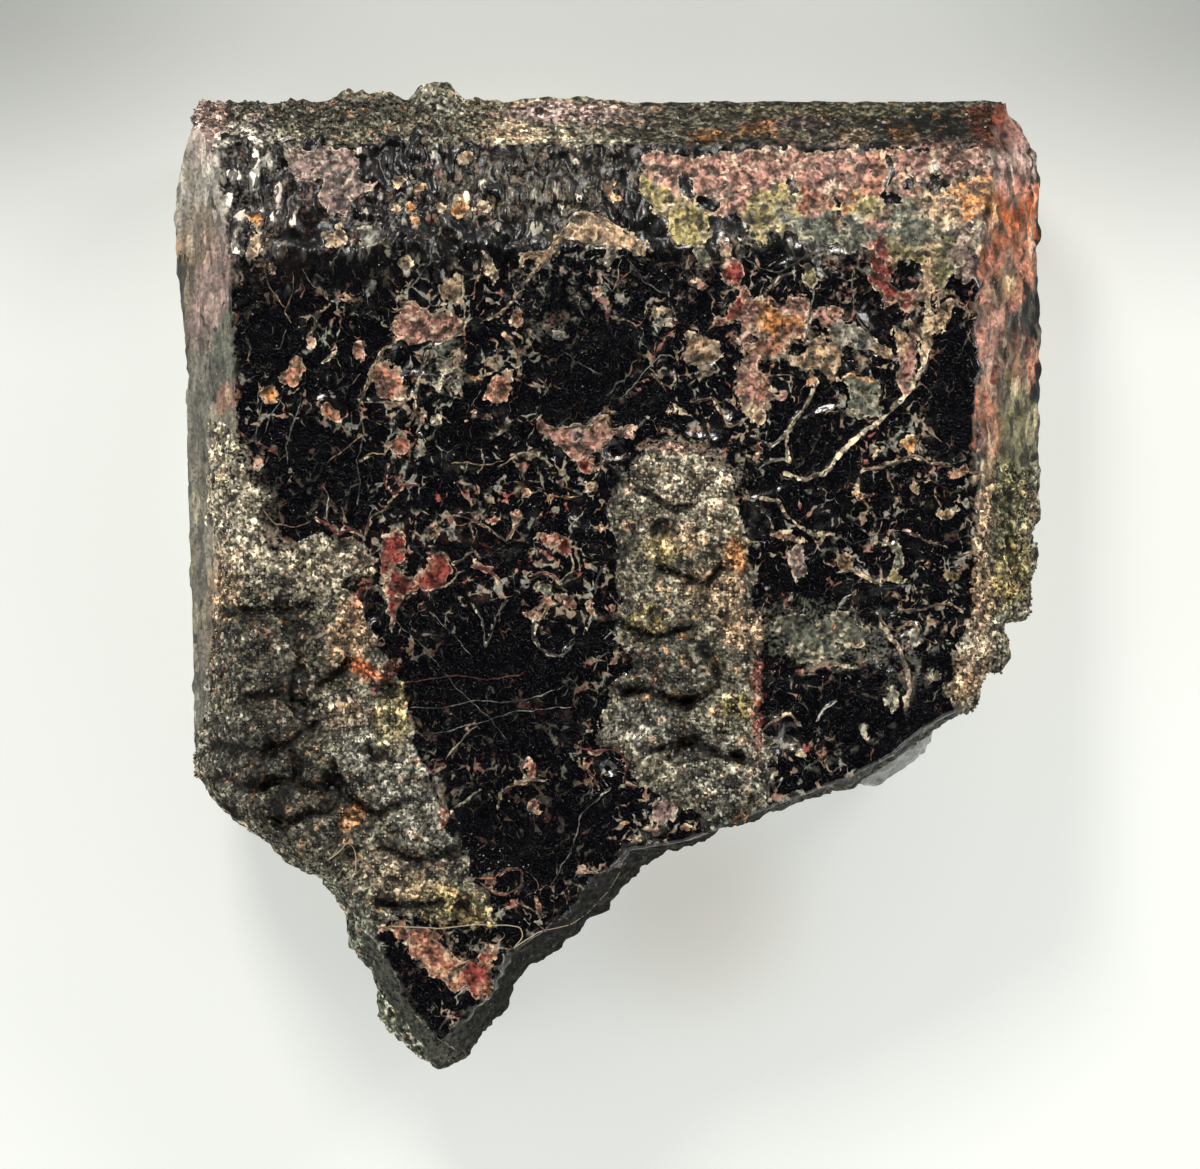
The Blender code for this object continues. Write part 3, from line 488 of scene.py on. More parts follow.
    ("tan", -3.9, -8.9, 0.35, 0.2, 10), ("ochre", -3.8, -9.4, 0.6, 0.22, 0),
]

# The larger patches, each with its own outline.
OUTLINED_PATCHES = [
    ("mauve", [(-8.95, 12.0), (-8.9, 11.5), (-8.4, 11.05), (-7.9, 11.1), (-7.95, 10.6),
               (-7.7, 10.1), (-7.3, 10.1), (-7.15, 10.5), (-6.9, 10.6), (-6.3, 11.0),
               (-7.0, 11.2), (-7.1, 12.0)]),
    ("pink", [(-5.9, 7.3), (-5.4, 7.8), (-4.9, 7.5), (-4.6, 7.1), (-4.0, 7.2), (-3.95, 6.9),
              (-4.6, 6.6), (-5.2, 6.45), (-5.6, 6.6), (-5.95, 6.8)]),
    ("salmon", [(-6.6, 5.7), (-6.3, 6.1), (-5.9, 5.9), (-5.5, 5.1), (-5.9, 4.9), (-6.35, 5.1)]),
    ("salmon", [(-3.4, 5.0), (-3.2, 5.5), (-2.85, 5.9), (-2.7, 5.5), (-2.7, 4.9), (-3.1, 5.0)]),
    ("salmon", [(-9.05, 5.8), (-8.65, 6.25), (-8.45, 6.0), (-8.45, 5.4), (-8.7, 5.2),
                (-8.95, 5.4)]),
    ("salmon", [(-8.0, 4.9), (-7.85, 4.95), (-7.4, 4.6), (-7.5, 4.35), (-7.95, 4.5)]),
    ("orange", [(-9.65, 5.35), (-9.2, 5.3), (-9.15, 5.0), (-9.35, 4.9)]),
    ("tan", [(-4.7, 8.1), (-4.2, 8.45), (-4.0, 8.2), (-4.05, 7.7), (-4.5, 7.65)]),
    ("pink", [(-1.9, 4.6), (-1.3, 4.2), (-0.7, 4.1), (-0.3, 4.3), (0.0, 4.5), (0.1, 4.2),
              (0.6, 4.1), (0.9, 4.3), (0.7, 3.8), (0.3, 3.9), (-0.1, 3.8), (-0.2, 3.5),
              (-0.7, 3.3), (-1.1, 3.4), (-1.6, 3.9)]),
    ("pink", [(2.1, 11.1), (2.6, 11.7), (3.4, 11.9), (4.3, 11.9), (4.75, 11.6), (5.0, 11.3),
              (4.7, 11.1), (4.2, 10.9), (3.7, 10.1), (3.2, 10.1), (3.1, 10.5), (2.5, 10.5),
              (2.2, 10.7)]),
    ("pink", [(1.2, 11.8), (1.8, 11.75), (2.0, 11.3), (1.9, 11.0), (1.4, 11.0), (1.1, 11.3)]),
    ("ochre", [(1.7, 10.1), (2.2, 10.4), (2.6, 10.2), (2.7, 9.9), (2.95, 9.6), (2.7, 9.3),
               (2.1, 9.3), (1.7, 9.6)]),
    ("ochre", [(3.8, 10.2), (4.1, 10.7), (4.9, 10.8), (5.4, 10.7), (5.3, 10.2), (4.8, 10.2),
               (4.7, 9.6), (4.3, 9.3), (4.0, 9.7)]),
    ("red", [(3.2, 9.0), (3.5, 8.9), (3.8, 8.3), (3.6, 8.0), (3.3, 8.2)]),
    ("red", [(7.2, 9.1), (7.6, 9.3), (7.9, 8.9), (8.0, 8.3), (8.2, 7.9), (7.9, 7.6), (7.6, 7.9),
             (7.3, 8.3), (7.4, 8.7)]),
    ("mauve", [(9.6, 9.2), (10.4, 9.3), (10.3, 8.4), (10.0, 8.1), (9.7, 8.4)]),
    ("tan", [(9.1, 7.0), (9.2, 7.6), (9.6, 7.9), (9.65, 7.5), (9.4, 6.8), (9.0, 6.6)]),
    ("sage", [(6.7, 5.6), (7.6, 5.6), (7.6, 4.6), (7.0, 4.3), (6.7, 4.8)]),
    ("pink", [(3.7, 5.5), (4.1, 5.9), (4.4, 5.5), (4.7, 5.2), (4.4, 4.9), (4.3, 4.5), (4.05, 5.0)]),
    ("tan", [(-2.5, 9.05), (-1.7, 9.05), (-1.35, 9.6), (-1.15, 9.9), (-0.6, 10.2), (0.2, 9.9),
             (0.6, 9.4), (1.2, 9.1), (0.5, 9.2), (-0.4, 9.3), (-1.1, 9.35), (-1.5, 8.95),
             (-1.7, 8.65), (-2.4, 8.85)]),
    ("salmon", [(-6.4, -9.6), (-5.6, -9.7), (-4.9, -9.8), (-4.6, -10.2), (-4.3, -10.5),
                (-4.0, -10.9), (-3.6, -10.9), (-3.5, -10.5), (-3.2, -10.3), (-3.0, -10.5),
                (-3.2, -11.1), (-3.2, -11.7), (-3.5, -11.75), (-3.9, -11.4), (-4.3, -11.6),
                (-4.5, -11.2), (-4.9, -11.1), (-4.8, -10.8), (-5.3, -10.5), (-5.6, -10.1),
                (-6.0, -9.8)]),
    ("red", [(-6.35, 0.1), (-6.3, 1.1), (-5.85, 1.25), (-5.6, 0.9), (-5.6, 0.3)]),
    ("red", [(-6.2, -0.3), (-6.0, 0.15), (-5.4, 0.0), (-5.0, 0.2), (-4.9, 0.7), (-4.5, 0.7),
             (-4.2, 0.2), (-4.6, -0.3), (-5.0, -0.3), (-5.6, -0.25), (-5.75, -0.7), (-5.9, -1.4),
             (-6.05, -1.3), (-6.1, -0.6)]),
    ("tan", [(2.1, 6.4), (2.4, 6.75), (2.8, 6.8), (3.1, 6.5), (3.25, 6.15), (2.9, 5.95),
             (2.3, 6.0)]),
    ("sage", [(4.9, -1.4), (5.4, -1.1), (6.1, -1.3), (6.5, -1.8), (5.9, -2.0), (5.3, -2.1)]),
    ("tan", [(9.0, 10.6), (9.3, 10.85), (9.5, 10.5), (9.45, 10.1), (9.1, 10.15)]),
    ("salmon", [(7.45, 11.85), (7.8, 11.9), (7.75, 11.1), (7.5, 10.85), (7.1, 10.95)]),
]

# Ground that is coated all over, in the colours of the patches nearest to each spot,
# and the black windows left in it.
COATED_GROUND = [
    [(1.0, 11.9), (2.2, 11.8), (4.4, 12.0), (6.0, 11.9), (7.8, 12.0), (10.7, 12.0), (11.0, 11.0),
     (10.9, 10.1), (10.4, 9.2), (10.3, 8.2), (9.9, 8.1), (9.7, 8.5), (9.1, 8.0), (8.9, 7.5),
     (8.5, 7.7), (8.0, 7.8), (7.7, 7.6), (7.3, 8.4), (7.5, 8.9), (7.1, 9.1), (6.1, 9.2),
     (5.9, 9.6), (5.2, 9.5), (4.7, 9.2), (4.2, 9.4), (3.9, 9.9), (3.3, 10.2), (2.9, 10.2),
     (2.9, 9.4), (1.7, 9.3), (1.7, 9.9), (1.2, 10.3), (0.9, 10.9)],
    [(3.8, 8.2), (4.2, 7.9), (4.6, 7.6), (5.2, 7.9), (5.6, 7.6), (5.5, 7.0), (5.9, 7.6),
     (6.2, 7.6), (6.6, 7.3), (7.0, 7.1), (7.5, 6.7), (8.0, 6.3), (8.1, 6.0), (7.5, 6.2),
     (6.7, 6.4), (6.6, 6.2), (6.3, 5.6), (6.0, 5.8), (5.6, 5.8), (5.1, 6.0), (4.8, 6.15),
     (4.3, 6.0), (4.1, 5.4), (4.5, 5.2), (4.3, 4.6), (3.9, 4.6), (3.6, 5.2), (3.6, 5.8),
     (3.9, 6.3), (3.7, 7.0), (3.2, 7.3), (3.6, 7.8)],
    [(8.1, 7.8), (8.9, 7.7), (9.2, 6.9), (8.9, 6.0), (8.5, 5.3), (8.1, 5.0), (8.1, 6.3),
     (8.4, 7.0)],
]
WINDOWS = [
    (2.75, 10.5, 0.38, 0.2, 0), (8.35, 8.4, 0.4, 0.42, 0), (4.85, 9.35, 0.55, 0.35, 10),
    (9.15, 11.4, 0.13, 0.3, 0), (7.9, 11.4, 0.12, 0.42, 0), (10.1, 11.3, 0.09, 0.2, 20),
    (9.2, 10.95, 0.3, 0.1, 0), (6.3, 9.05, 0.5, 0.2, 0), (2.2, 10.85, 0.18, 0.3, 30),
    (8.2, 7.35, 0.22, 0.18, 0), (8.7, 7.3, 0.16, 0.3, 0), (5.75, 6.85, 0.12, 0.35, 0),
    (5.35, 6.4, 0.3, 0.14, 10), (4.1, 6.7, 0.18, 0.12, 20), (6.1, 6.75, 0.16, 0.16, 0),
    (9.6, 8.1, 0.1, 0.35, 0), (8.65, 6.1, 0.1, 0.6, -10), (5.2, 10.95, 0.1, 0.3, 0),
    (6.35, 10.5, 0.07, 0.5, 20), (7.9, 10.5, 0.2, 0.2, 0), (8.4, 11.1, 0.12, 0.2, 0),
]

# Places where the black glass is nearly bare.
BARE_PLACES = [
    (-8.1, 3.0, 1.7, 1.3, 0), (-3.2, -3.2, 2.7, 2.0, 0), (-2.3, -6.8, 2.3, 1.7, 0),
    (-7.7, 8.5, 2.2, 0.55, 0), (-0.5, 6.2, 1.4, 1.2, 0), (1.6, 8.6, 0.6, 0.8, 0),
    (9.7, 5.4, 0.6, 1.9, 0), (-9.5, 7.0, 0.9, 1.0, 0), (7.3, -3.6, 1.8, 1.1, 0),
    (-6.6, -0.9, 0.4, 0.7, 0), (7.6, 7.5, 0.5, 0.9, 20), (-5.5, -11.2, 1.0, 1.0, 0),
    (-8.8, 1.9, 0.9, 0.7, 0), (5.9, 3.4, 1.2, 0.9, 0), (-1.4, 7.6, 0.4, 0.5, 0),
    (-7.2, 5.4, 0.5, 0.5, 0), (3.0, 8.3, 0.4, 0.5, 0), (9.0, 1.4, 0.9, 0.7, 0),
]

# Wide soft stains: colour, place, half sizes, turn, and how much they cover. The pearl one at the upper
# left corner and the cream one at the upper right corner are painted glints.
TINTS = [
    ("lilac", -11.2, 12.6, 0.9, 0.4, 80, 0.9), ("pearl", -11.6, 11.2, 1.6, 0.45, 90, 1.0),
    ("tan", -11.4, 9.6, 0.8, 0.5, 90, 0.8), ("lilac", -11.1, 8.2, 1.5, 0.5, 75, 0.9),
    ("coal", -11.8, 7.4, 1.4, 0.25, 85, 1.0), ("sage", -10.7, 6.2, 1.0, 0.3, 90, 0.9),
    ("night", -11.35, 6.75, 0.45, 0.2, 70, 1.0), ("stone", -11.5, 4.8, 1.6, 0.35, 90, 1.0),
    ("salmon", -10.6, 5.0, 0.4, 0.25, 60, 1.0), ("beige", -10.7, 4.1, 0.7, 0.4, 90, 0.9),
    ("stone", -11.5, 1.2, 2.6, 0.4, 90, 1.0), ("stone", -11.4, -2.6, 2.4, 0.35, 90, 1.0),
    ("tan", -11.1, -1.4, 1.2, 0.2, 90, 0.6), ("ochre", -11.7, -0.6, 1.6, 0.12, 90, 0.6),
    ("lilac", 11.4, 11.7, 1.1, 0.5, 90, 1.0), ("brick", 11.5, 10.3, 0.9, 0.5, 90, 1.0),
    ("brick", 10.9, 9.6, 0.7, 0.3, 60, 0.9), ("salmon", 11.2, 8.6, 1.0, 0.6, 70, 0.9),
    ("ochre", 11.1, 8.1, 0.4, 0.25, 60, 0.9), ("coal", 11.5, 6.9, 0.45, 0.35, 90, 1.0),
    ("salmon", 11.65, 6.1, 0.75, 0.35, 90, 1.0), ("pink", 10.8, 6.8, 1.2, 0.35, 90, 0.8),
    ("red", 10.75, 5.3, 0.4, 0.2, 90, 1.0), ("salmon", 10.65, 4.4, 0.9, 0.35, 90, 1.0),
    ("olive", 11.4, 4.4, 1.6, 0.45, 90, 0.8), ("olive", 11.3, 1.6, 2.0, 0.5, 90, 0.8),
    ("tan", 10.5, 1.8, 2.2, 0.22, 85, 0.7), ("ochre", 11.3, 0.2, 0.9, 0.5, 80, 0.7),
    ("tan", 10.5, -0.8, 1.0, 0.3, 80, 0.7), ("beige", 10.45, -1.7, 0.8, 0.5, 70, 1.0),
    ("tan", 10.1, -2.6, 0.8, 0.4, 60, 0.8),
    ("mauve", -0.9, 13.05, 1.9, 0.3, 0, 1.0), ("mauve", 5.3, 12.85, 1.0, 0.2, 0, 0.9),
    ("rust", 10.9, 12.65, 0.7, 0.5, -30, 2.0), ("orange", 4.3, 12.6, 0.5, 0.25, 0, 0.8),
    ("orange", 2.9, 12.35, 0.5, 0.2, 0, 0.7), ("orange", 8.3, 12.4, 0.3, 0.16, 0, 0.9),
    ("tan", 6.9, 12.4, 0.4, 0.18, 0, 0.8), ("night", 9.1, 12.65, 1.7, 0.45, 0, 1.0),
    ("rust", 9.0, 12.05, 1.7, 0.12, 0, 0.8), ("night", 3.3, 12.1, 2.2, 0.14, 0, 0.9),
    ("olive", 6.2, 13.1, 2.4, 0.18, 0, 0.7), ("coal", 0.8, 12.7, 1.2, 0.25, 0, 0.8),
    ("tan", -2.6, 12.4, 0.7, 0.25, 0, 0.8), ("coal", 6.8, 12.75, 1.3, 0.3, 0, 0.8),
    # The cream stain at 10.0, 9.7 is a painted highlight.
    ("mauve", 9.5, 11.3, 1.2, 0.8, 0, 0.8), ("cream", 10.0, 9.7, 0.7, 0.5, 0, 0.75),
    ("orange", 10.3, 10.6, 0.6, 0.5, -30, 0.8), ("tan", 9.1, 10.2, 0.7, 0.7, 0, 0.5),
    ("pink", 5.8, 11.2, 2.6, 0.8, 0, 0.55), ("sage", 6.2, 9.8, 1.9, 0.9, 0, 0.75),
    ("sage", 8.6, 9.6, 0.9, 0.6, 0, 0.6), ("mauve", -7.6, 11.2, 1.4, 0.9, 0, 0.5),
    ("cream", -2.0, 11.0, 2.5, 1.2, 0, 0.7), ("tan", -5.0, 10.4, 2.0, 0.5, 0, 0.4),
    # The pearl stain at -10.0, 11.0 is a painted highlight.
    ("pearl", -10.0, 11.0, 1.1, 1.6, 0, 0.9), ("pink", -8.6, 9.8, 1.2, 1.2, 0, 0.4),
    ("ash", -1.3, 8.0, 1.8, 1.0, 0, 0.35),
    ("sage", -4.5, 6.0, 0.6, 0.9, 0, 0.6), ("sage", -1.5, 6.8, 0.6, 0.5, 0, 0.5),
    ("mauve", 2.0, 8.4, 1.2, 0.8, 0, 0.35), ("sage", 3.0, 9.4, 1.3, 0.6, 0, 0.55),
    ("pink", 7.0, 7.5, 2.2, 1.4, 0, 0.25), ("pink", 4.4, 6.8, 1.4, 1.2, 0, 0.35),
    ("sage", 5.9, -1.6, 1.7, 0.9, -10, 0.8), ("ash", 8.2, -2.4, 1.1, 1.2, 0, 0.35),
    ("tan", -4.5, -10.6, 1.0, 0.5, -40, 0.4), ("ochre", -4.2, -9.2, 1.2, 0.5, -20, 0.6),
    ("sage", -5.9, -11.5, 1.5, 0.3, -65, 0.6), ("rust", -4.8, 0.6, 2.2, 1.2, 0, 0.25),
    ("beige", -10.2, 1.9, 1.0, 1.5, 0, 0.95), ("beige", -8.4, 0.3, 1.6, 0.6, 0, 0.7),
    ("coal", -9.4, -2.0, 1.9, 1.2, 0, 0.8), ("coal", -9.6, -4.9, 1.6, 1.2, 0, 1.0),
    ("beige", -10.6, 3.0, 0.5, 1.2, 0, 1.0), ("sage", -7.3, -9.8, 0.8, 1.6, 20, 1.0),
    ("sage", -5.9, -12.4, 1.3, 0.6, -60, 1.0), ("tan", -10.7, -0.2, 0.4, 0.9, 0, 0.6),
    ("tan", -7.1, -1.4, 0.5, 0.9, -20, 0.8), ("brick", -6.8, -2.5, 0.5, 0.25, -30, 0.9),
    ("ochre", -5.9, -3.9, 0.4, 1.1, -15, 0.6), ("clay", -7.2, -3.9, 0.6, 0.4, 0, 0.5),
    ("red", -6.9, -0.6, 0.18, 0.6, -20, 0.8), ("red", -6.1, -2.6, 0.15, 0.7, -35, 0.7),
    ("ash", -6.5, -5.0, 1.0, 0.8, 0, 0.7), ("coal", -8.0, -6.6, 1.6, 0.8, 20, 0.8),
    ("ash", -5.3, -6.5, 0.9, 1.2, 0, 0.6), ("orange", -7.1, -6.7, 0.4, 0.25, 60, 0.8),
    ("clay", -5.6, -8.3, 1.1, 0.7, -20, 0.5), ("coal", -4.9, -7.6, 0.7, 0.6, 0, 0.8),
    ("beige", 2.2, 2.6, 1.5, 1.3, 0, 0.95), ("coal", 0.7, 1.9, 0.5, 1.0, 0, 0.7),
    ("ochre", 1.6, 0.8, 0.5, 0.4, 0, 0.7), ("tan", 2.2, 1.1, 0.5, 0.4, 0, 0.7),
    ("orange", 3.6, 0.6, 0.25, 0.4, 0, 0.8), ("ochre", 1.1, -1.2, 0.5, 0.4, 0, 0.7),
    ("coal", 1.6, -3.0, 1.0, 1.5, 0, 0.85), ("tan", 3.8, -1.4, 0.6, 0.5, 0, 0.8),
    ("ochre", 3.6, -3.6, 0.4, 0.3, 0, 0.9), ("red", 4.25, -3.4, 0.2, 1.4, 0, 0.7),
    ("ash", 3.2, -5.4, 1.2, 1.0, 0, 0.5), ("ash", 1.0, -4.2, 0.9, 0.6, 0, 0.6),
    ("tan", 3.0, -0.3, 0.8, 0.6, 0, 0.6), ("red", 2.0, 3.6, 0.9, 0.16, -12, 0.8),
    ("coal", -8.5, 13.1, 3.0, 0.5, 0, 0.9), ("stone", -4.8, 13.4, 0.7, 0.5, 0, 0.9),
    ("coal", -9.5, 8.4, 1.8, 0.5, 0, 0.6), ("night", -1.5, -10.7, 3.2, 0.9, 46, 1.5),
    ("night", 1.9, -7.9, 2.6, 0.8, 22, 1.5),
]

# Deep pits in the front face: place, radius and depth.
HOLLOWS = [
    (-3.0, -6.9, 1.4, 0.5), (-5.55, 5.85, 0.62, 0.45), (0.2, 3.6, 0.42, 0.35),
    (-0.5, 1.75, 0.6, 0.35), (-1.1, -1.55, 0.75, 0.3), (7.3, 0.75, 0.55, 0.3),
    (7.45, -0.75, 0.5, 0.3), (5.85, 4.9, 0.6, 0.25), (2.75, 4.4, 0.5, 0.25),
    (7.4, 7.6, 0.5, 0.3), (5.15, -4.5, 0.5, 0.4), (-8.8, 1.9, 0.8, 0.15),
    (-6.5, -0.9, 0.4, 0.3), (4.9, 9.3, 0.5, 0.25), (6.5, 9.0, 0.5, 0.25), (1.7, 8.5, 0.7, 0.2),
    (-0.1, -5.3, 0.25, 0.3), (0.45, -5.1, 0.2, 0.2), (8.35, 8.4, 0.4, 0.25), (3.4, 10.1, 0.3, 0.2),
    (2.8, 10.35, 0.35, 0.25), (-6.3, -6.5, 0.3, 0.35), (6.2, 8.6, 0.4, 0.25),
    (-9.9, 7.2, 0.7, 0.15), (8.1, 1.1, 0.22, 0.25), (8.3, 7.3, 0.3, 0.25),
    (7.9, -2.4, 0.4, 0.25), (7.0, 6.3, 0.5, 0.2), (1.4, 5.7, 0.4, 0.15),
]

# Cracks across the crusts, as lines.
CREASES = [
    [(-10.8, -0.9), (-9.9, -1.0), (-9.0, -0.9), (-8.3, -0.8)], [(-10.3, -3.4), (-9.2, -3.3), (-8.0, -3.5)],
    [(-8.0, -3.0), (-7.4, -2.7), (-7.1, -2.3)], [(-10.9, -4.7), (-9.6, -4.8), (-8.6, -4.5), (-8.0, -4.1)],
    [(-10.8, -5.5), (-10.0, -5.8), (-9.2, -5.6), (-8.4, -5.9), (-7.5, -5.6)],
    [(-8.8, -4.8), (-8.6, -5.3), (-8.9, -6.0)], [(-7.6, -5.2), (-7.2, -6.2), (-6.4, -6.6), (-5.9, -6.4)],
    [(-9.9, -6.5), (-9.0, -6.9), (-8.2, -6.6)], [(-6.2, -7.6), (-5.2, -7.9), (-4.6, -7.6)],
    [(1.0, 2.4), (1.9, 1.9), (2.4, 2.0)], [(0.4, -1.2), (1.3, -1.6), (2.4, -1.4)],
    [(1.6, 0.2), (2.6, -0.1), (3.2, 0.3)], [(0.6, -3.2), (1.8, -3.4), (3.2, -3.1)],
    [(1.2, -4.8), (2.4, -4.6), (3.6, -4.9)], [(-6.4, -9.0), (-5.4, -9.2), (-4.6, -9.0)],
]


def crease_depth(points, drift):
    """How deep the crusts are cracked at each place, in millimetres."""
    flat = points[:, :2] + 0.25 * drift[:, :2]
    away = np.min([distance_to_line(flat, corners) for corners in CREASES], axis=0)
    depth = 0.3 * np.exp(-((away / 0.16) ** 2))
    pits = smooth_rise(noise_at(points, 0.9, 11.0), 0.25, 0.5)
    return depth + 0.22 * pits


skin = crystal.data
count = len(skin.vertices)
places = np.empty(count * 3)
skin.vertices.foreach_get("co", places)
places = places.reshape(-1, 3)
normals = np.empty(count * 3)
skin.vertex_normals.foreach_get("vector", normals)
normals = normals.reshape(-1, 3)


def noise_at(points, size, shift=0.0):
    """Smooth noise from about -1 to 1 in lumps of this size, in millimetres."""
    return np.array([noise.noise(point) for point in (points / size + shift).tolist()])


def cells_at(points, size, shift=0.0):
    """Distance to the nearest cell's heart and to the wall beside it, in millimetres."""
    near = [noise.voronoi(point)[0] for point in (points / size + shift).tolist()]
    near = np.array([(distances[0], distances[1]) for distances in near])
    return near[:, 0] * size, (near[:, 1] - near[:, 0]) * size


def distance_to_segment(points, start, end):
    start, along = np.array(start), np.array(end) - np.array(start)
    share = np.clip((points - start) @ along / (along @ along), 0.0, 1.0)
    return np.linalg.norm(points - start - share[:, None] * along, axis=1)


def distance_to_line(points, corners):
    return np.min([distance_to_segment(points, a, b) for a, b in zip(corners, corners[1:])], axis=0)


def depth_inside(points, corners):
    """Distance to the rim of a closed outline, negative outside it."""
    inside = np.zeros(len(points), dtype=bool)
    for (ax, ay), (bx, by) in zip(corners, corners[1:] + corners[:1]):
        if ay == by:
            continue
        crosses = (ay > points[:, 1]) != (by > points[:, 1])
        reach = ax + (points[:, 1] - ay) * (bx - ax) / (by - ay)
        inside ^= crosses & (reach > points[:, 0])
    distance = distance_to_line(points, corners + corners[:1])
    return np.where(inside, distance, -distance)


def depth_in_patch(points, x, y, half_length, half_width, turn):
    """Distance inside the rim of one oval patch, negative outside it."""
    along = np.array((math.cos(math.radians(turn)), math.sin(math.radians(turn))))
    across = np.array((-along[1], along[0]))
    offset = points - (x, y)
    reach = np.hypot(offset @ along / half_length, offset @ across / half_width)
    return (1.0 - reach) * min(half_length, half_width)


def paint(red, green, blue):
    """A colour from its 8-bit screen values, as the linear values that shaders take."""
    return tuple(((value / 255 + 0.055) / 1.055) ** 2.4 for value in (red, green, blue))


PAINTS = {
    "mauve": paint(140, 118, 112), "pink": paint(172, 128, 112), "red": paint(140, 66, 58),
    "salmon": paint(178, 120, 96), "orange": paint(198, 134, 78), "tan": paint(180, 150, 118),
    "clay": paint(158, 138, 116), "cream": paint(218, 202, 170), "ochre": paint(164, 148, 96),
    "olive": paint(124, 118, 82),
    "sage": paint(104, 106, 92), "ash": paint(146, 144, 132), "white": paint(230, 226, 214),
    "rust": paint(116, 56, 38), "beige": paint(168, 158, 136), "coal": paint(62, 59, 52),
    "lilac": paint(190, 158, 148), "pearl": paint(196, 188, 174), "night": paint(8, 7, 7),
    "brick": paint(184, 98, 54), "stone": paint(116, 112, 100),
}


def surface_facts(places):
    """What lies at each place: which face it belongs to, and what grew there."""
    facts = {}
    offsets = {"front": np.abs(places[:, 2] - THICKNESS)}
    for name, (point, normal) in FACES.items():
        unit = np.array(Vector(normal).normalized())
        offsets[name] = np.abs((places - point) @ unit)
    offsets["back"] = np.abs(places[:, 2])
    inset = np.where(
        places[:, 2] > WAIST_HEIGHT,
        BREAK_FRONT_INSET * (places[:, 2] - WAIST_HEIGHT) / (THICKNESS - WAIST_HEIGHT),
        BREAK_BACK_INSET * (WAIST_HEIGHT - places[:, 2]) / WAIST_HEIGHT,
    )
    from_break = np.abs(distance_to_line(places[:, :2], BROKEN_SIDES) - inset)
    offsets["broken"] = np.minimum(from_break, 0.7)
    nearest = np.argmin(np.array(list(offsets.values())), axis=0)
    for index, name in enumerate(offsets):
        facts[name] = (nearest == index).astype(float)
    flat = places[:, :2].copy()
    spread = np.array([noise.noise_vector(point)[:2] for point in (places / 0.45).tolist()])
    fine_spread = np.array([noise.noise_vector(point)[:2] for point in (places / 0.16).tolist()])
    ragged = flat + 0.2 * spread + 0.08 * fine_spread
    nearly_straight = flat + 0.07 * spread + 0.03 * fine_spread
    facts["crust_depth"] = np.max(
        [depth_inside(ragged, corners) for corners in (LEFT_CRUST, MIDDLE_CRUST, RIGHT_CRUST)],
        axis=0,
    )
    depth = np.full(len(places), -1.0)
    colour = np.zeros((len(places), 3))
    shapes = [(paint_name, depth_in_patch(ragged, *oval)) for paint_name, *oval in PATCHES]
    shapes += [(name, depth_inside(ragged, corners)) for name, corners in OUTLINED_PATCHES]
    for paint_name, here in shapes:
        nearer = here > depth
        depth[nearer] = here[nearer]
        colour[nearer] = PAINTS[paint_name]
    for corners in COATED_GROUND:
        depth = np.maximum(depth, np.minimum(depth_inside(ragged, corners), 0.1))
    for oval in WINDOWS:
        depth = np.minimum(depth, -depth_in_patch(ragged, *oval))
    facts["patch_depth"] = depth.copy()
    line_depth = np.full(len(places), -1.0)
    for paint_name, half_width, corners in LINES:
        if half_width < PAINTED_LINE:
            continue
        here = 0.6 * half_width - distance_to_line(nearly_straight, corners)
        line_depth = np.maximum(line_depth, here)
        nearer = here > depth
        depth[nearer] = here[nearer]
        colour[nearer] = PAINTS[paint_name]
    facts["line_depth"] = line_depth
    facts["coat_depth"] = depth
    facts["coat_colour"] = colour
    cover = np.full(len(places), 1e-6)
    tint = np.zeros((len(places), 3))
    for paint_name, x, y, half_length, half_width, turn, strength in TINTS:
        here = depth_in_patch(ragged, x, y, half_length, half_width, turn)
        here = strength * smooth_rise(here / min(half_length, half_width), -0.5, 0.35)
        cover += here
        tint += here[:, None] * PAINTS[paint_name]
    bare = np.zeros(len(places))
    for x, y, half_length, half_width, turn in BARE_PLACES:
        here = depth_in_patch(ragged, x, y, half_length, half_width, turn)
        bare = np.maximum(bare, smooth_rise(here / min(half_length, half_width), -0.4, 0.3))
    facts["bare"] = bare
    facts["tint"] = tint / cover[:, None]
    facts["tint_cover"] = np.clip(cover, 0, 1)
    return facts


facts = surface_facts(places)
front = facts["front"]
slope = facts["slope"]
crust = smooth_rise(facts["crust_depth"], 0.0, 0.22)
right = facts["right_outer"] + facts["right_inner"] + facts["corner"]
crust *= front + facts["left"] + right + facts["broken"] * smooth_rise(places[:, 2], 3.0, 5.0)

# The glassy front: gentle swells, walls between rounded cells, small pits.
swell = 0.1 * noise_at(places, 4.0) + 0.05 * noise_at(places, 1.4)
drift = np.array([tuple(noise.noise_vector(point)) for point in (places / DRIFT_SIZE).tolist()])
_, large_gap = cells_at(places + 0.35 * drift, WALL_SIZE)
_, small_gap = cells_at(places + 0.2 * drift, SMALL_WALL_SIZE)
strength = smooth_rise(noise_at(places, 2.2, 7.0), -0.2, 0.4)
small_strength = smooth_rise(noise_at(places, 1.8, 3.0), 0.0, 0.5)
fine = noise_at(places, 0.3)
finest = noise_at(places, 0.14)
walled = 1 - 0.9 * facts["bare"]
height = swell + 0.05 * strength * walled * np.exp(-((large_gap / 0.14) ** 2))
height += 0.035 * small_strength * walled * np.exp(-((small_gap / 0.09) ** 2))
height += 0.025 * fine + 0.02 * finest
for x, y, radius, depth in HOLLOWS:
    away = np.hypot(places[:, 0] + 0.4 * drift[:, 0] - x, places[:, 1] + 0.4 * drift[:, 1] - y)
    away += 0.15 * noise_at(places, 0.4, x)
    height -= HOLLOW_SHARE * depth * (1 - smooth_rise(away, 0.1 * radius, 1.3 * radius))
patch_depth, line_depth = facts["patch_depth"], facts["line_depth"]
height += 0.02 * np.exp(-((patch_depth / 0.06) ** 2))
height += smooth_rise(patch_depth, 0.0, 0.12) * (0.06 * fine + 0.04 * finest - 0.02)
near_line = smooth_rise(line_depth, -0.06, 0.02)
height += near_line * 0.03

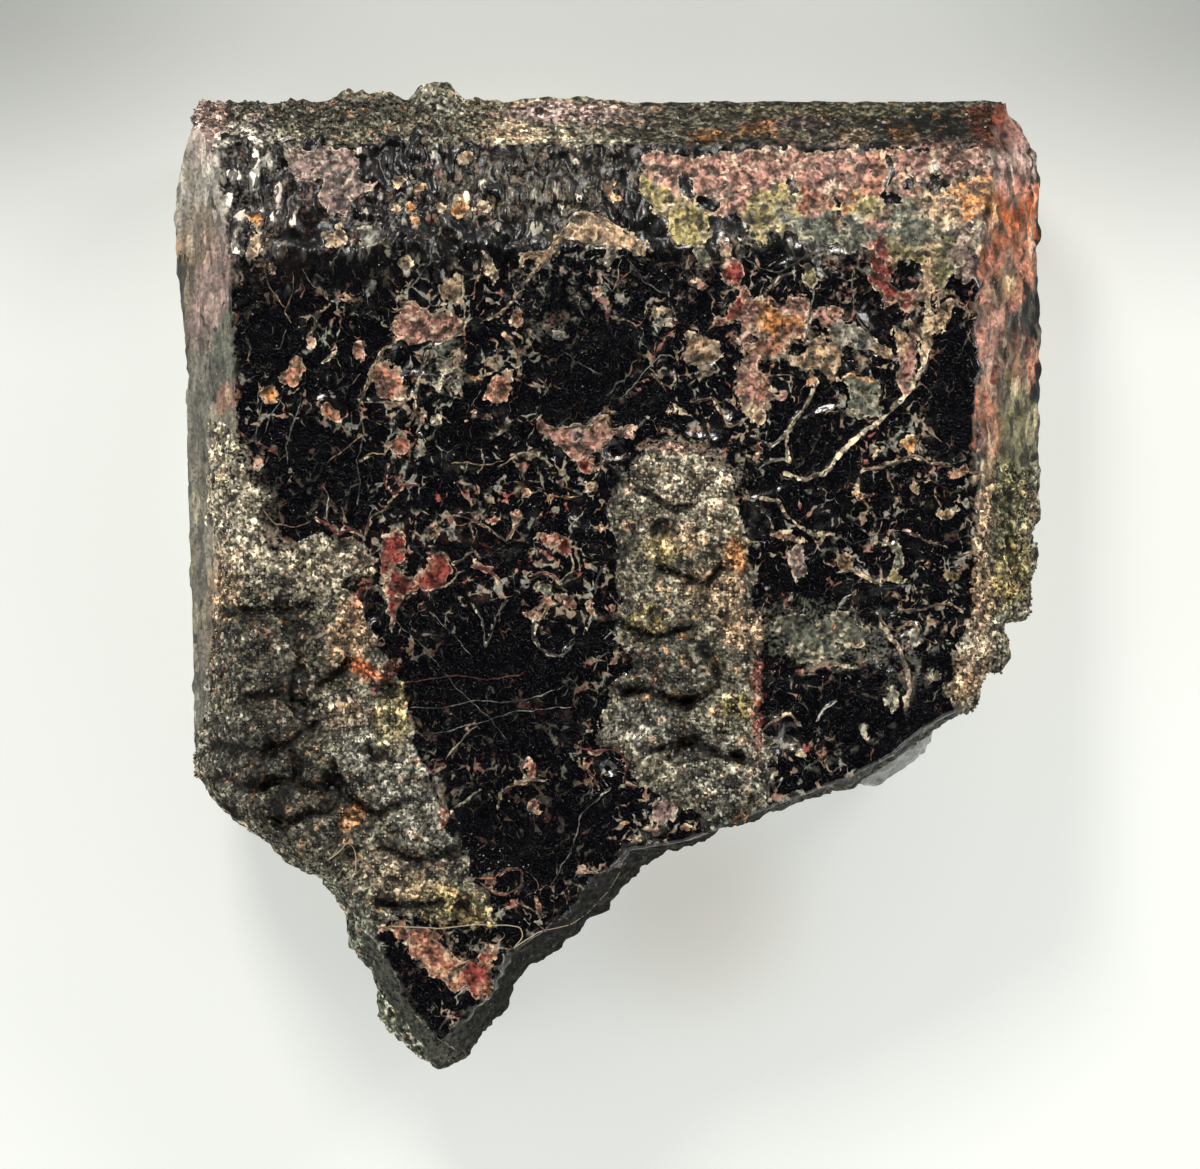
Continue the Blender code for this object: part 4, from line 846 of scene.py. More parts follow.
# The slope at the top: upright pebbles, longer than wide, that fade out to the right.
PEBBLE_STRETCH = (1.0, 0.4, 1.0)
PEBBLE_SIZE = 0.28
SLOPE_FOOT = 9.3
pebble_heart, _ = cells_at(places * PEBBLE_STRETCH + 0.15 * drift, PEBBLE_SIZE)
below_slope = front * smooth_rise(places[:, 1], 7.8, 9.3) * smooth_rise(-places[:, 0], 1.0, 4.0)
pebbled = slope * (1 - 0.65 * smooth_rise(places[:, 0], 0.5, 3.0)) + 0.7 * below_slope
pebbled *= 1 - smooth_rise(patch_depth, -0.05, 0.05)
height += pebbled * (0.17 * np.exp(-((pebble_heart / 0.13) ** 2)) - 0.05)
blade_heart, _ = cells_at(places * (1.0, 0.3, 1.0) + 0.2 * drift, 0.45)
bladed = (slope + front * smooth_rise(places[:, 1], 8.6, 9.4)) * smooth_rise(-places[:, 0], 9.0, 9.6)
height += bladed * (0.26 * np.exp(-((blade_heart / 0.2) ** 2)) - 0.05)

crumpled = slope * smooth_rise(places[:, 0], 7.0, 8.5)
height += crumpled * 0.16 * np.abs(noise_at(places, 0.7, 4.0))
slope_edge = np.exp(-(((places[:, 1] - SLOPE_FOOT) / 0.5) ** 2))
height += slope_edge * 0.16 * noise_at(places, 0.9, 6.0)

# The crusts: a rough ledge of grains.
grain_heart, _ = cells_at(places, 0.26)
rough = 0.16 * noise_at(places, 0.8) + 0.1 * noise_at(places, 0.4, 5.0)
creases = crease_depth(places, drift)
grains = 0.07 * np.exp(-((grain_heart / 0.12) ** 2)) + 0.05 * finest + rough - creases
height = height * (1 - crust) + (CRUST_HEIGHT + grains + 0.5 * swell) * crust

# The narrow faces: grooves that run along the crystal, and ledges on the right.
grooved = places * (1.0, 0.16, 1.0)
grooves = 0.05 * noise_at(grooved, 0.35) + 0.06 * noise_at(grooved, 1.0)
under = facts["left_back"] + facts["right_back"]
sides = facts["left"] + under
grained_top = facts["top"] * smooth_rise(-places[:, 0], 2.4, 3.4)
on_side = (grooves * 0.3 + 0.03 * fine) * (1 - crust) + (0.1 + 0.7 * grains) * crust
on_side += under * (0.5 * rough + 0.03 * finest)
height = np.where(sides > 0, on_side, height)
pebbles = 0.1 * np.exp(-((pebble_heart / 0.12) ** 2)) + 0.12 * noise_at(places, 0.5, 2.0)
on_right = 0.9 * grooves + 0.05 * fine + 0.4 * swell + pebbles + 0.8 * grains * crust
height = np.where(right > 0, on_right, height)
plain_top = facts["top"] + facts["top_back"] + facts["corner_back"]
rough_top = grained_top * (0.12 * np.exp(-((grain_heart / 0.12) ** 2)) + 0.05 * finest + rough)
rough_top += (facts["top_back"] + facts["corner_back"]) * 0.5 * rough
height = np.where(plain_top > 0, 0.5 * swell + 0.04 * fine + rough_top, height)

# The break: shell-like steps and a rough tooth.
shells = np.array([
    noise.fractal(point, 0.9, 2.0, 4, noise_basis="PERLIN_ORIGINAL")
    for point in (places / 1.3).tolist()
])
broken_height = 0.28 * shells + 0.03 * finest + 0.5 * rough
broken_height += (0.07 * np.exp(-((grain_heart / 0.12) ** 2)) + 0.04 * fine) * (1 - 0.5 * crust)
height = np.where(facts["broken"] > 0, broken_height, height)

# The back is flat, with shallow pits away from its middle.
away = np.hypot(places[:, 0], places[:, 1] - 2.0)
back_pits = smooth_rise(noise_at(places, 2.2), 0.12, 0.5) * smooth_rise(away, 5.5, 6.5)
height = np.where(facts["back"] > 0, -0.4 * back_pits + 0.01 * fine - 0.02, height)

places += normals * height[:, None]
lump = np.zeros(count)
for centre, reach_out, half_width in TOP_LUMPS:
    lump += reach_out * (1 - smooth_rise(np.abs(places[:, 0] - centre), 0.3 * half_width, half_width))
near_top = smooth_rise(places[:, 1], TOP_FACE - TOP_FACE_INSET, TOP_FACE - 0.4)
places[:, 1] += lump * near_top * smooth_rise(places[:, 2], 2.5, WAIST_HEIGHT) * (1 + 0.3 * fine)
places[:, 2] = np.maximum(places[:, 2], 0.0)
skin.vertices.foreach_set("co", places.ravel())
skin.update()

# The hidden back and lower sides keep fewer points than the front.
keep = crystal.vertex_groups.new(name="seldom seen")
seldom = (facts["back"] + facts["left_back"] + facts["right_back"] + facts["top_back"] > 0)
seldom |= (facts["broken"] > 0) & (places[:, 2] < WAIST_HEIGHT)
keep.add([int(i) for i in np.flatnonzero(seldom)], 1.0, "REPLACE")
keep.add([int(i) for i in np.flatnonzero(~seldom)], SEEN_WEIGHT, "REPLACE")
thin = crystal.modifiers.new("fewer faces", "DECIMATE")
thin.use_collapse_triangulate = True
thin.vertex_group = keep.name
thin.vertex_group_factor = SEEN_CARE
thin.ratio = min(1.0, SKIN_FACES / (2 * len(skin.polygons)))
bpy.ops.object.modifier_apply(modifier=thin.name)

# The finish of the skin
# Black glass with a resinous shine; clay and iron stain lie in its pits, and a fine dust
# of light grains lies over all of it.

skin = crystal.data
count = len(skin.vertices)
places = np.empty(count * 3)
skin.vertices.foreach_get("co", places)
places = places.reshape(-1, 3)
facts = surface_facts(places)
drift = np.array([tuple(noise.noise_vector(point)) for point in (places / DRIFT_SIZE).tolist()])
_, large_gap = cells_at(places + 0.35 * drift, WALL_SIZE)
_, small_gap = cells_at(places + 0.2 * drift, SMALL_WALL_SIZE)
stretched = (places * PEBBLE_STRETCH + 0.15 * drift) / PEBBLE_SIZE
nearest = [noise.voronoi(point) for point in stretched.tolist()]
pebble_heart = np.array([distances[0] for distances, hearts in nearest]) * PEBBLE_SIZE
pebble_tone = np.array([noise.cell(hearts[0] * 7.0) for distances, hearts in nearest])
blade_heart, _ = cells_at(places * (1.0, 0.3, 1.0) + 0.2 * drift, 0.45)
# At the far left the long blades take the pebbles' place, and their tone is raised so that they show as
# painted glints.
far_left = smooth_rise(-places[:, 0], 8.8, 9.4) * (places[:, 1] > 9.0)
pebble_heart += far_left * (0.6 * blade_heart - pebble_heart)
pebble_tone += far_left * (0.8 - 0.5 * pebble_tone)
creases = crease_depth(places, drift)
for name, values in (
    ("coat_depth", facts["coat_depth"]), ("crust_depth", facts["crust_depth"]),
    ("wall_gap", large_gap), ("small_wall_gap", small_gap),
    ("pebble_heart", pebble_heart), ("pebble_tone", pebble_tone), ("bare", facts["bare"]),
    ("crease", creases),
):
    skin.attributes.new(name, "FLOAT", "POINT").data.foreach_set("value", values)
pebbly = facts["slope"] + (
    0.8 * facts["front"] * smooth_rise(places[:, 1], 7.8, 9.2) * smooth_rise(-places[:, 0], 1.0, 4.0)
)
right = facts["right_outer"] + facts["right_inner"] + facts["corner"]
sides = facts["left"] + facts["left_back"] + facts["right_back"] + right
tops = facts["top"] + facts["top_back"] + facts["corner_back"]
for name, colour, alpha in (
    ("coat_colour", facts["coat_colour"], smooth_rise(facts["line_depth"], -0.1, -0.03)),
    ("tint", facts["tint"], facts["tint_cover"]),
    ("zones", np.stack([pebbly, sides, tops], axis=1), facts["broken"]),
):
    values = np.column_stack([colour, alpha])
    skin.attributes.new(name, "FLOAT_COLOR", "POINT").data.foreach_set("color", values.ravel())
for face in skin.polygons:
    face.use_smooth = True

skin_facts = facts
skin_places = places.copy()
skin_normals = np.empty(count * 3)
skin.vertex_normals.foreach_get("vector", skin_normals)
skin_normals = skin_normals.reshape(-1, 3)
crystal.data.transform(Matrix.Translation(CENTRING))
crystal.data.transform(Matrix.Scale(MM, 4))


class Wire:
    """One output of a shader's nodes, so that shader maths can be written as maths."""

    def __init__(self, tree, socket):
        self.tree = tree
        self.socket = socket

    def node(self, kind, settings=None, output=0, **inputs):
        made = self.tree.nodes.new(kind)
        for name, value in (settings or {}).items():
            setattr(made, name, value)
        for name, value in inputs.items():
            target = made.inputs[int(name[1:])] if name[1:].isdigit() else made.inputs[name]
            if isinstance(value, Wire):
                self.tree.links.new(value.socket, target)
            else:
                target.default_value = value
        return Wire(self.tree, made.outputs[output])

    def maths(self, operation, *values, clamped=False):
        inputs = {f"_{index}": value for index, value in enumerate(values)}
        return self.node("ShaderNodeMath", {"operation": operation, "use_clamp": clamped}, **inputs)

    def __add__(self, other):
        return self.maths("ADD", self, other)

    __radd__ = __add__

    def __sub__(self, other):
        return self.maths("SUBTRACT", self, other)

    def __rsub__(self, other):
        return self.maths("SUBTRACT", other, self)

    def __mul__(self, other):
        return self.maths("MULTIPLY", self, other)

    __rmul__ = __mul__

    def rise(self, low, high):
        """0 below low, 1 above high, smooth between."""
        return self.node(
            "ShaderNodeMapRange", {"interpolation_type": "SMOOTHSTEP"},
            Value=self, **{"From Min": low, "From Max": high},
        )

    def part(self, name):
        """One channel of this colour."""
        return self.node("ShaderNodeSeparateColor", output=name, Color=self)

    def shaded(self, light):
        """This colour made darker or lighter by a factor."""
        return self.node("ShaderNodeVectorMath", {"operation": "SCALE"}, _0=self, Scale=light)

    def mixed(self, other, share):
        """This colour with a share of another colour laid over it."""
        return self.node(
            "ShaderNodeMix", {"data_type": "RGBA", "clamp_factor": True}, output=2,
            _0=share, _6=self, _7=other if isinstance(other, Wire) else (*other, 1.0),
        )

    def scaled(self, sizes):
        """Coordinates stretched so that one lump of a texture has these sizes."""
        return self.node(
            "ShaderNodeVectorMath", {"operation": "DIVIDE"}, _0=self,
            _1=[size * MM for size in sizes],
        )

    def grain(self, size, detail=2.0, output=0, **more):
        """Noise in lumps of this size in millimetres, from 0 to 1."""
        return self.node(
            "ShaderNodeTexNoise", output=output, Vector=self, Scale=1 / (size * MM),
            Detail=detail, **more,
        )

    def grain_in_place(self, detail):
        """Noise over coordinates that are already stretched."""
        return self.node("ShaderNodeTexNoise", Vector=self, Scale=1.0, Detail=detail)

    def node_cells(self, feature):
        """Cells over coordinates that are already stretched."""
        return self.node("ShaderNodeTexVoronoi", {"feature": feature}, Vector=self, Scale=1.0)

    def surface_attribute(self, name, output="Fac"):
        """A value that was worked out for each point of the mesh."""
        return self.node("ShaderNodeAttribute", {"attribute_name": name}, output=output)


def begin_material(name):
    """An empty node tree with its shader: the material, the shader node and a first wire."""
    material = bpy.data.materials.new(name)
    material.use_nodes = True
    shader = material.node_tree.nodes["Principled BSDF"]
    coordinates = material.node_tree.nodes.new("ShaderNodeTexCoord")
    return material, shader, Wire(material.node_tree, coordinates.outputs["Object"])


def plug(shader, **wires):
    """Feeds wires into a shader's sockets, and sets plain values on them."""
    for name, value in wires.items():
        socket = shader.inputs[name.replace("_", " ")]
        if isinstance(value, Wire):
            value.tree.links.new(value.socket, socket)
        else:
            socket.default_value = value


mineral, shader, at = begin_material("allanite")
coat_depth = at.surface_attribute("coat_depth")
crust_depth = at.surface_attribute("crust_depth")
wall_gap = at.surface_attribute("wall_gap")
small_wall = at.surface_attribute("small_wall_gap")
bare = at.surface_attribute("bare")
pebble_tone = at.surface_attribute("pebble_tone")
pebble_heart = at.surface_attribute("pebble_heart")
coat_colour = at.surface_attribute("coat_colour", "Color")
tint = at.surface_attribute("tint", "Color")
tint_cover = at.surface_attribute("tint", "Alpha")
zones = at.surface_attribute("zones", "Color")
in_slope, in_sides, in_tops = (zones.part(name) for name in ("Red", "Green", "Blue"))
in_break = at.surface_attribute("zones", "Alpha")
rightward = at.node("ShaderNodeSeparateXYZ", output="X", Vector=at).rise(0.0, 2.0 * MM)

coarse = at.grain(0.9, 2.0)
middle = at.grain(0.28, 2.0)
fine = at.grain(0.09, 1.0)
squashed = at.scaled((1.0, 1.0, 2.4))
grain_value = squashed.node("ShaderNodeTexVoronoi", output="Color", Vector=squashed, Scale=12.0)
grain_value = grain_value.part("Red")
large_grain = squashed.node("ShaderNodeTexVoronoi", output="Color", Vector=squashed, Scale=5.2)
large_value, large_hue = large_grain.part("Red"), large_grain.part("Green")
smoke = paint(60, 60, 57)
BROKEN_STONE = paint(116, 115, 103)
CRUST_STONE = paint(108, 103, 87)
SIDE_STONE = paint(120, 112, 96)
plain = (1 - in_sides) * (1 - bare * 0.85) * (1 - in_slope * 0.45)

# Black glass, here and there with a grey bloom.
colour = at.node("ShaderNodeRGB")
colour.socket.default_value = (0.0016, 0.0016, 0.0026, 1.0)
colour = colour.mixed(smoke, coarse.rise(0.48, 0.7) * 0.6 * middle.rise(0.42, 0.7) * plain)
stain = (middle + tint_cover * 0.5).rise(0.66, 0.85) * fine.rise(0.35, 0.62)
stain = stain * (1 - in_slope * 0.6)
colour = colour.mixed(tint.shaded(0.4 + grain_value), stain * 0.8 * plain)

# Threads of light clay: on the walls between the cells, and loose curved strokes.
warp = at.node("ShaderNodeTexNoise", output="Color", Vector=at, Scale=1 / (0.6 * MM), Detail=2.0)
bent = warp.node("ShaderNodeVectorMath", {"operation": "SCALE"}, _0=warp, Scale=0.9 * MM)
bent = bent.node("ShaderNodeVectorMath", {"operation": "ADD"}, _0=at, _1=bent)
strokes = bent.scaled((0.55, 1.0, 0.8)).node_cells("DISTANCE_TO_EDGE")
slow = at.grain(1.7, 1.0)
stroke_width = 0.1 * middle.rise(0.44, 0.72) * slow.rise(0.3, 0.6)
stroke = (stroke_width - strokes).rise(-0.01, 0.015)
large_thread = (wall_gap + (fine - 0.5) * 0.08).rise(0.05, 0.02) * coarse.rise(0.44, 0.58)
small_thread = (small_wall + (fine - 0.5) * 0.06).rise(0.045, 0.015) * slow.rise(0.46, 0.58)
threads = stroke.maths("MAXIMUM", stroke, large_thread.maths("MAXIMUM", large_thread, small_thread))
thread_hue = warp.part("Green")
thread_colour = colour.mixed(PAINTS["ash"], 1.0).mixed(PAINTS["clay"], thread_hue.rise(0.42, 0.54))
thread_colour = thread_colour.mixed(PAINTS["pink"], thread_hue.rise(0.56, 0.62))
thread_colour = thread_colour.mixed(PAINTS["red"], thread_hue.rise(0.63, 0.67) * 0.8)
thread_strength = plain * (0.08 + 0.92 * middle.rise(0.33, 0.6))
colour = colour.mixed(thread_colour.shaded(0.4 + 1.3 * grain_value), threads * thread_strength)

# Pebbles on the upper slope, each of its own grey; the brightest of them are painted glints.
pebble_shape = (pebble_heart + (fine - 0.5) * 0.05).rise(0.125, 0.095) * in_slope
pebble_hue = thread_colour.mixed(PAINTS["ash"], pebble_tone.rise(0.15, 0.4))
pebble_hue = pebble_hue.mixed(tint, tint_cover * 0.6)
pebble_brightness_and_glint = 0.2 + 5.2 * pebble_tone * pebble_tone * pebble_tone
colour = colour.mixed(pebble_hue.shaded(pebble_brightness_and_glint), pebble_shape * 0.9 * middle.rise(0.3, 0.45))
upright = at.scaled((0.2, 0.75, 0.6)).grain_in_place(2.0)
colour = colour.mixed(PAINTS["night"], upright.rise(0.5, 0.44) * in_slope * 0.95)

# The narrow faces are stained all over, in grains and streaks that run along the crystal.
streaks = at.scaled((0.14, 1.1, 0.4)).grain_in_place(2.0)
blotches = at.scaled((0.4, 0.6, 0.5)).grain_in_place(3.0)
streaks = streaks + (blotches - streaks) * (0.75 + 0.15 * rightward)
plates = at.scaled((0.26, 0.62, 0.5))
plates = plates.node("ShaderNodeTexVoronoi", output="Color", Vector=plates, Scale=1.0)
plate_value, plate_hue = plates.part("Red"), plates.part("Green")
stained = tint.mixed(SIDE_STONE, plate_hue.rise(0.6, 0.95) * 0.7)
stained = stained.mixed(PAINTS["cream"], plate_hue.rise(0.12, 0.05) * 0.4)
streak_share = 0.45 + 0.55 * rightward
side_light = 1 + streak_share * (1.35 * streaks.rise(0.35, 0.63) - 0.75)
side_light = side_light * (0.5 + 0.8 * plate_value)
stained = stained.shaded(side_light * (0.5 + 0.85 * grain_value) * (1 + 0.1 * rightward))
side_black = (streaks * 0.5 + middle * 0.5 + tint_cover * 0.1).rise(0.5, 0.45)
stained = stained.mixed((0.008, 0.007, 0.006), side_black * 0.9)
colour = colour.mixed(stained, in_sides)

# The coats: ragged edges made of grains, a pale rim, and a speckled inside.
on_line = at.surface_attribute("coat_colour", "Alpha")
edge = coat_depth + (large_value + fine - 1.0) * (0.11 - 0.08 * on_line)
coated = edge.rise(-0.004, 0.008) * (1 - in_sides)
rim = edge.rise(-0.004, 0.01) * edge.rise(0.07, 0.03)
coat = coat_colour.mixed(tint, large_hue.rise(0.62, 0.8) * tint_cover * 0.6)
coat = coat.mixed(PAINTS["cream"], rim * 0.45 + large_value.rise(0.7, 0.95) * 0.45)
coat = coat.mixed(PAINTS["coal"], large_hue.rise(0.3, 0.08) * 0.8)
coat = coat.mixed(PAINTS["night"], small_wall.rise(0.05, 0.01) * 0.6)
coat_light = (1 + in_slope * 0.15) * (0.2 + 1.35 * grain_value) * (0.3 + 1.3 * middle.rise(0.3, 0.65))
colour = colour.mixed(coat.shaded(coat_light), coated)

# The break, and the crusts: packed grains of many tones, with painted shade in their cracks and hollows.
broken_colour = colour.mixed(BROKEN_STONE, 1.0).mixed(tint, tint_cover * 0.8)
broken_colour = broken_colour.shaded((0.1 + 1.5 * grain_value) * middle)
colour = colour.mixed(broken_colour, in_break * 0.9)
on_crust = (crust_depth + (fine - 0.5) * 0.16 + (large_value - 0.5) * 0.16).rise(-0.05, 0.0)
on_crust = on_crust.maths("MAXIMUM", on_crust, in_tops * 0.95)
crust_colour = colour.mixed(CRUST_STONE, 1.0).mixed(tint, tint_cover * 0.9)
crust_colour = crust_colour.mixed(PAINTS["orange"], large_hue.rise(0.86, 0.93) * 0.2)
crust_colour = crust_colour.mixed(PAINTS["sage"], large_hue.rise(0.25, 0.1) * 0.5)
grain_light = (0.25 + 3.0 * grain_value * grain_value) * (0.25 + 1.5 * middle.rise(0.3, 0.7))
# Painted shade: the crust is made darker in its cracks and pits.
crease = at.surface_attribute("crease")
crease_painted_shade = 1 - crease.rise(0.02, 0.26) * (0.85 - 0.85 * in_tops)
grain_light = grain_light * (1.1 - in_tops * (0.2 + 0.55 * rightward))
crust_colour = crust_colour.shaded(grain_light * (0.5 + 1.3 * large_value) * crease_painted_shade)
# Painted glints: a few of the palest crust grains are turned white.
crust_colour = crust_colour.mixed(PAINTS["white"], grain_value.rise(0.965, 0.985) * 0.6 * large_hue)
# Painted shade: dark blotches stand for shade in the crust's hollows.
painted_hollow_shade = at.grain(0.45, 4.0).rise(0.47, 0.4) * (1 - in_tops)
crust_colour = crust_colour.mixed(PAINTS["night"], painted_hollow_shade * 0.8)
colour = colour.mixed(crust_colour, on_crust)

# Dust: small white specks, thick in some places.
dust_cell = at.node(
    "ShaderNodeTexVoronoi", output="Distance", Vector=at, Scale=1 / (0.24 * MM),
)
dust_kept = Wire(dust_cell.tree, dust_cell.socket.node.outputs["Color"]).part("Blue")
dust_kept = (dust_kept + (coarse - 0.5) * 0.8).rise(0.6, 0.68)
colour = colour.mixed(PAINTS["white"], dust_cell.rise(0.11, 0.06) * dust_kept * 0.6)

dull = coated.maths("MAXIMUM", coated, on_crust)
dull = dull.maths("MAXIMUM", dull, in_break)
roughness = 0.1 + 0.12 * middle + dull * 0.3 + in_sides * 0.2 + in_slope * 0.1
lumps = fine * 0.5 + grain_value * 0.4
lumps = lumps * (0.3 + 0.5 * dull)
relief = at.node("ShaderNodeBump", Height=lumps, Strength=1.0, Distance=0.04 * MM)
plug(shader, Base_Color=colour, Roughness=roughness, Normal=relief, IOR=1.7)

# Coated and broken ground hardly shines, so it is mixed with a matt shader.
matt = at.node(
    "ShaderNodeBsdfPrincipled", Normal=relief, Roughness=0.95,
    **{"Base Color": colour, "Specular IOR Level": 0.08},
)
matt_share = dull * (0.8 - 0.45 * in_slope)
matt_share = matt_share.maths("MAXIMUM", matt_share, in_tops * 0.9)
matt_share = matt_share.maths("MAXIMUM", matt_share, in_break * 0.9)
matt_share = matt_share.maths("MAXIMUM", matt_share, in_sides * 0.7)
matt_share = matt_share.maths("MAXIMUM", matt_share, in_slope * (0.7 - 0.55 * pebble_shape))
glossy = Wire(matt.tree, shader.outputs["BSDF"])
both = at.node("ShaderNodeMixShader", _0=matt_share, _1=glossy, _2=matt)
ending = mineral.node_tree.nodes["Material Output"]
mineral.node_tree.links.new(both.socket, ending.inputs["Surface"])
crystal.data.materials.clear()
crystal.data.materials.append(mineral)
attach(crystal, "root")
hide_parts("allanite_crystal")

# The crust's grains
# The three crusts and the lumpy upper left edge are covered with angular grains of
# feldspar, quartz and ore, each a small faceted stone pressed into the skin.

GRAIN_COUNT = 9900
GRAIN_SIZES = (0.024, 0.075)
GRAIN_SEED = 7
chance = np.random.default_rng(GRAIN_SEED)

grows = smooth_rise(skin_facts["crust_depth"], 0.02, 0.12) * (
    skin_facts["front"] + skin_facts["left"] + skin_facts["right_inner"]
    + skin_facts["right_outer"] + skin_facts["broken"] * (skin_places[:, 2] > 5.5)
)
open_ground = 1 - smooth_rise(creases, 0.03, 0.2)
grows *= 0.1 + open_ground
left_top = skin_facts["top"] * smooth_rise(-skin_places[:, 0], 2.6, 3.6)
grows = np.maximum(grows, left_top * (skin_places[:, 2] > 4.3))
homes = chance.choice(len(grows), GRAIN_COUNT, replace=False, p=grows / grows.sum())
bpy.ops.object.select_all(action="DESELECT")
bpy.ops.mesh.primitive_ico_sphere_add(subdivisions=1, radius=1.0)
stones = bpy.context.object
stones.name = "crust_grains"
stone_corners = np.array([tuple(vertex.co) for vertex in stones.data.vertices])
stone_faces = np.array([tuple(face.vertices) for face in stones.data.polygons])
turns, _ = np.linalg.qr(chance.normal(size=(GRAIN_COUNT, 3, 3)))
turns *= np.sign(np.linalg.det(turns))[:, None, None]
low, high = GRAIN_SIZES
sizes = low + (high - low) * chance.random(GRAIN_COUNT) ** 2.2
shapes = chance.uniform(0.6, 1.15, (GRAIN_COUNT, 1, 3))
uneven = chance.uniform(0.82, 1.1, (GRAIN_COUNT, len(stone_corners), 1))
corners = (stone_corners * shapes * uneven) @ turns * sizes[:, None, None]
corners += (skin_places[homes] + skin_normals[homes] * 0.3 * sizes[:, None])[:, None, :]
faces = stone_faces + (np.arange(GRAIN_COUNT) * len(stone_corners))[:, None, None]
pile = bpy.data.meshes.new("crust_grains")
pile.from_pydata(corners.reshape(-1, 3).tolist(), [], faces.reshape(-1, 3).tolist())
stones.data = pile
# Grains differ in tone at random; those in the cracks are also made darker, as painted shade.
tones = chance.random(GRAIN_COUNT) * (0.6 + 0.4 * open_ground[homes])
tones = tones.repeat(len(stone_corners))
tints = np.column_stack([skin_facts["tint"], skin_facts["tint_cover"]])[homes]
tints = tints.repeat(len(stone_corners), axis=0)
pile.attributes.new("tone", "FLOAT", "POINT").data.foreach_set("value", tones)
pile.attributes.new("tint", "FLOAT_COLOR", "POINT").data.foreach_set("color", tints.ravel())
pile.transform(Matrix.Translation(CENTRING))
pile.transform(Matrix.Scale(MM, 4))

gravel, shader, at = begin_material("crust grains")
tone = at.surface_attribute("tone")
tint = at.surface_attribute("tint", "Color")
tint_cover = at.surface_attribute("tint", "Alpha")
base = at.node("ShaderNodeRGB")
base.socket.default_value = (*paint(118, 112, 94), 1.0)
base = base.mixed(tint, tint_cover * 0.85)
patchy = at.grain(0.5, 1.0).rise(0.35, 0.65)
base = base.shaded((0.12 + 3.0 * tone * tone) * (0.4 + 0.9 * patchy))
# Painted glints: the palest grains are turned nearly white.
base = base.mixed(PAINTS["white"], tone.rise(0.96, 0.98) * 0.7)
plug(shader, Base_Color=base, Roughness=0.42, IOR=1.5)
pile.materials.append(gravel)
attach(stones, "root")

# The healed cracks
# Fine light threads that stand a little above the glass: cracks that were healed with
# clay and quartz. Each is a thin cord laid along the skin.

CORD_STEP = 0.055
CORD_SPREAD = 0.06
bpy.context.view_layer.update()
skin_tree = BVHTree.FromObject(crystal, bpy.context.evaluated_depsgraph_get())
bpy.ops.object.select_all(action="DESELECT")


def laid_on_skin(corners, spread, seed):
    """Places along a line, a little unsteady, each on the skin straight below it, in metres."""
    lengths = np.hypot(*np.diff(corners, axis=0).T)
    reached = np.concatenate([[0.0], np.cumsum(lengths)])
    steps = np.arange(0.0, reached[-1], CORD_STEP)
    line = np.column_stack([np.interp(steps, reached, axis) for axis in np.array(corners).T])
    laid = []
    for x, y in line:
        away = noise.noise_vector((x / 0.35, y / 0.35, seed)) * spread
        away += noise.noise_vector((x / 0.12, y / 0.12, seed)) * 0.4 * spread
        above = Vector((x + away.x + CENTRING.x, y + away.y + CENTRING.y, THICKNESS + 3.0)) * MM
        hit, *_ = skin_tree.ray_cast(above, (0.0, 0.0, -1.0))
        laid.append(hit or above)
    return laid


for index, (paint_name, half_width, corners) in enumerate(LINES):
    if half_width >= BROAD_LINE:
        continue
    line = laid_on_skin(corners, CORD_SPREAD, index)
    curve = bpy.data.curves.new(f"cord_{index}", "CURVE")
    curve.dimensions = "3D"
    curve.bevel_depth = 0.55 * half_width * MM
    curve.bevel_resolution = 0
    spline = curve.splines.new("POLY")
    spline.points.add(len(line) - 1)
    for step, (point, place) in enumerate(zip(spline.points, line)):
        point.co = (*place, 1.0)
        taper = min(1.0, 0.3 + 0.2 * step, 0.3 + 0.2 * (len(line) - 1 - step))
        point.radius = taper * (0.9 + 1.2 * noise.noise(place / (0.16 * MM)))
    cord = bpy.data.objects.new(f"cord_{index}", curve)
    bpy.context.collection.objects.link(cord)
    bpy.ops.object.select_all(action="DESELECT")
    cord.select_set(True)
    bpy.context.view_layer.objects.active = cord
    bpy.ops.object.convert(target="MESH")
    tones = np.tile((*PAINTS[paint_name], 1.0), len(cord.data.vertices))
    cord.data.attributes.new("cord_colour", "FLOAT_COLOR", "POINT").data.foreach_set("color", tones)
for obj in bpy.data.objects:
    obj.select_set(obj.name.startswith("cord_"))
bpy.ops.object.join()
cords = bpy.context.object
cords.name = "healed_cracks"
healed, shader, at = begin_material("healed cracks")
cord_colour = at.surface_attribute("cord_colour", "Color")
speckle = at.grain(0.09, 2.0).rise(0.3, 0.7)
faded = at.grain(0.7, 2.0).rise(0.35, 0.65)
plug(
    shader, Base_Color=cord_colour.shaded((0.1 + 1.2 * speckle) * (0.1 + 0.9 * faded)),
    Roughness=0.45, IOR=1.5,
)
cords.data.materials.append(healed)
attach(cords, "root")

# The quartz chip
# A splinter of the vein that the crystal broke away from: clear grey quartz, still stuck
# under the edge of the break. It is the CAD chip with a chipped, wavy surface.

CHIP_SPACING = 0.1
CHIP_WAVES = ((0.7, 0.2), (0.25, 0.1))

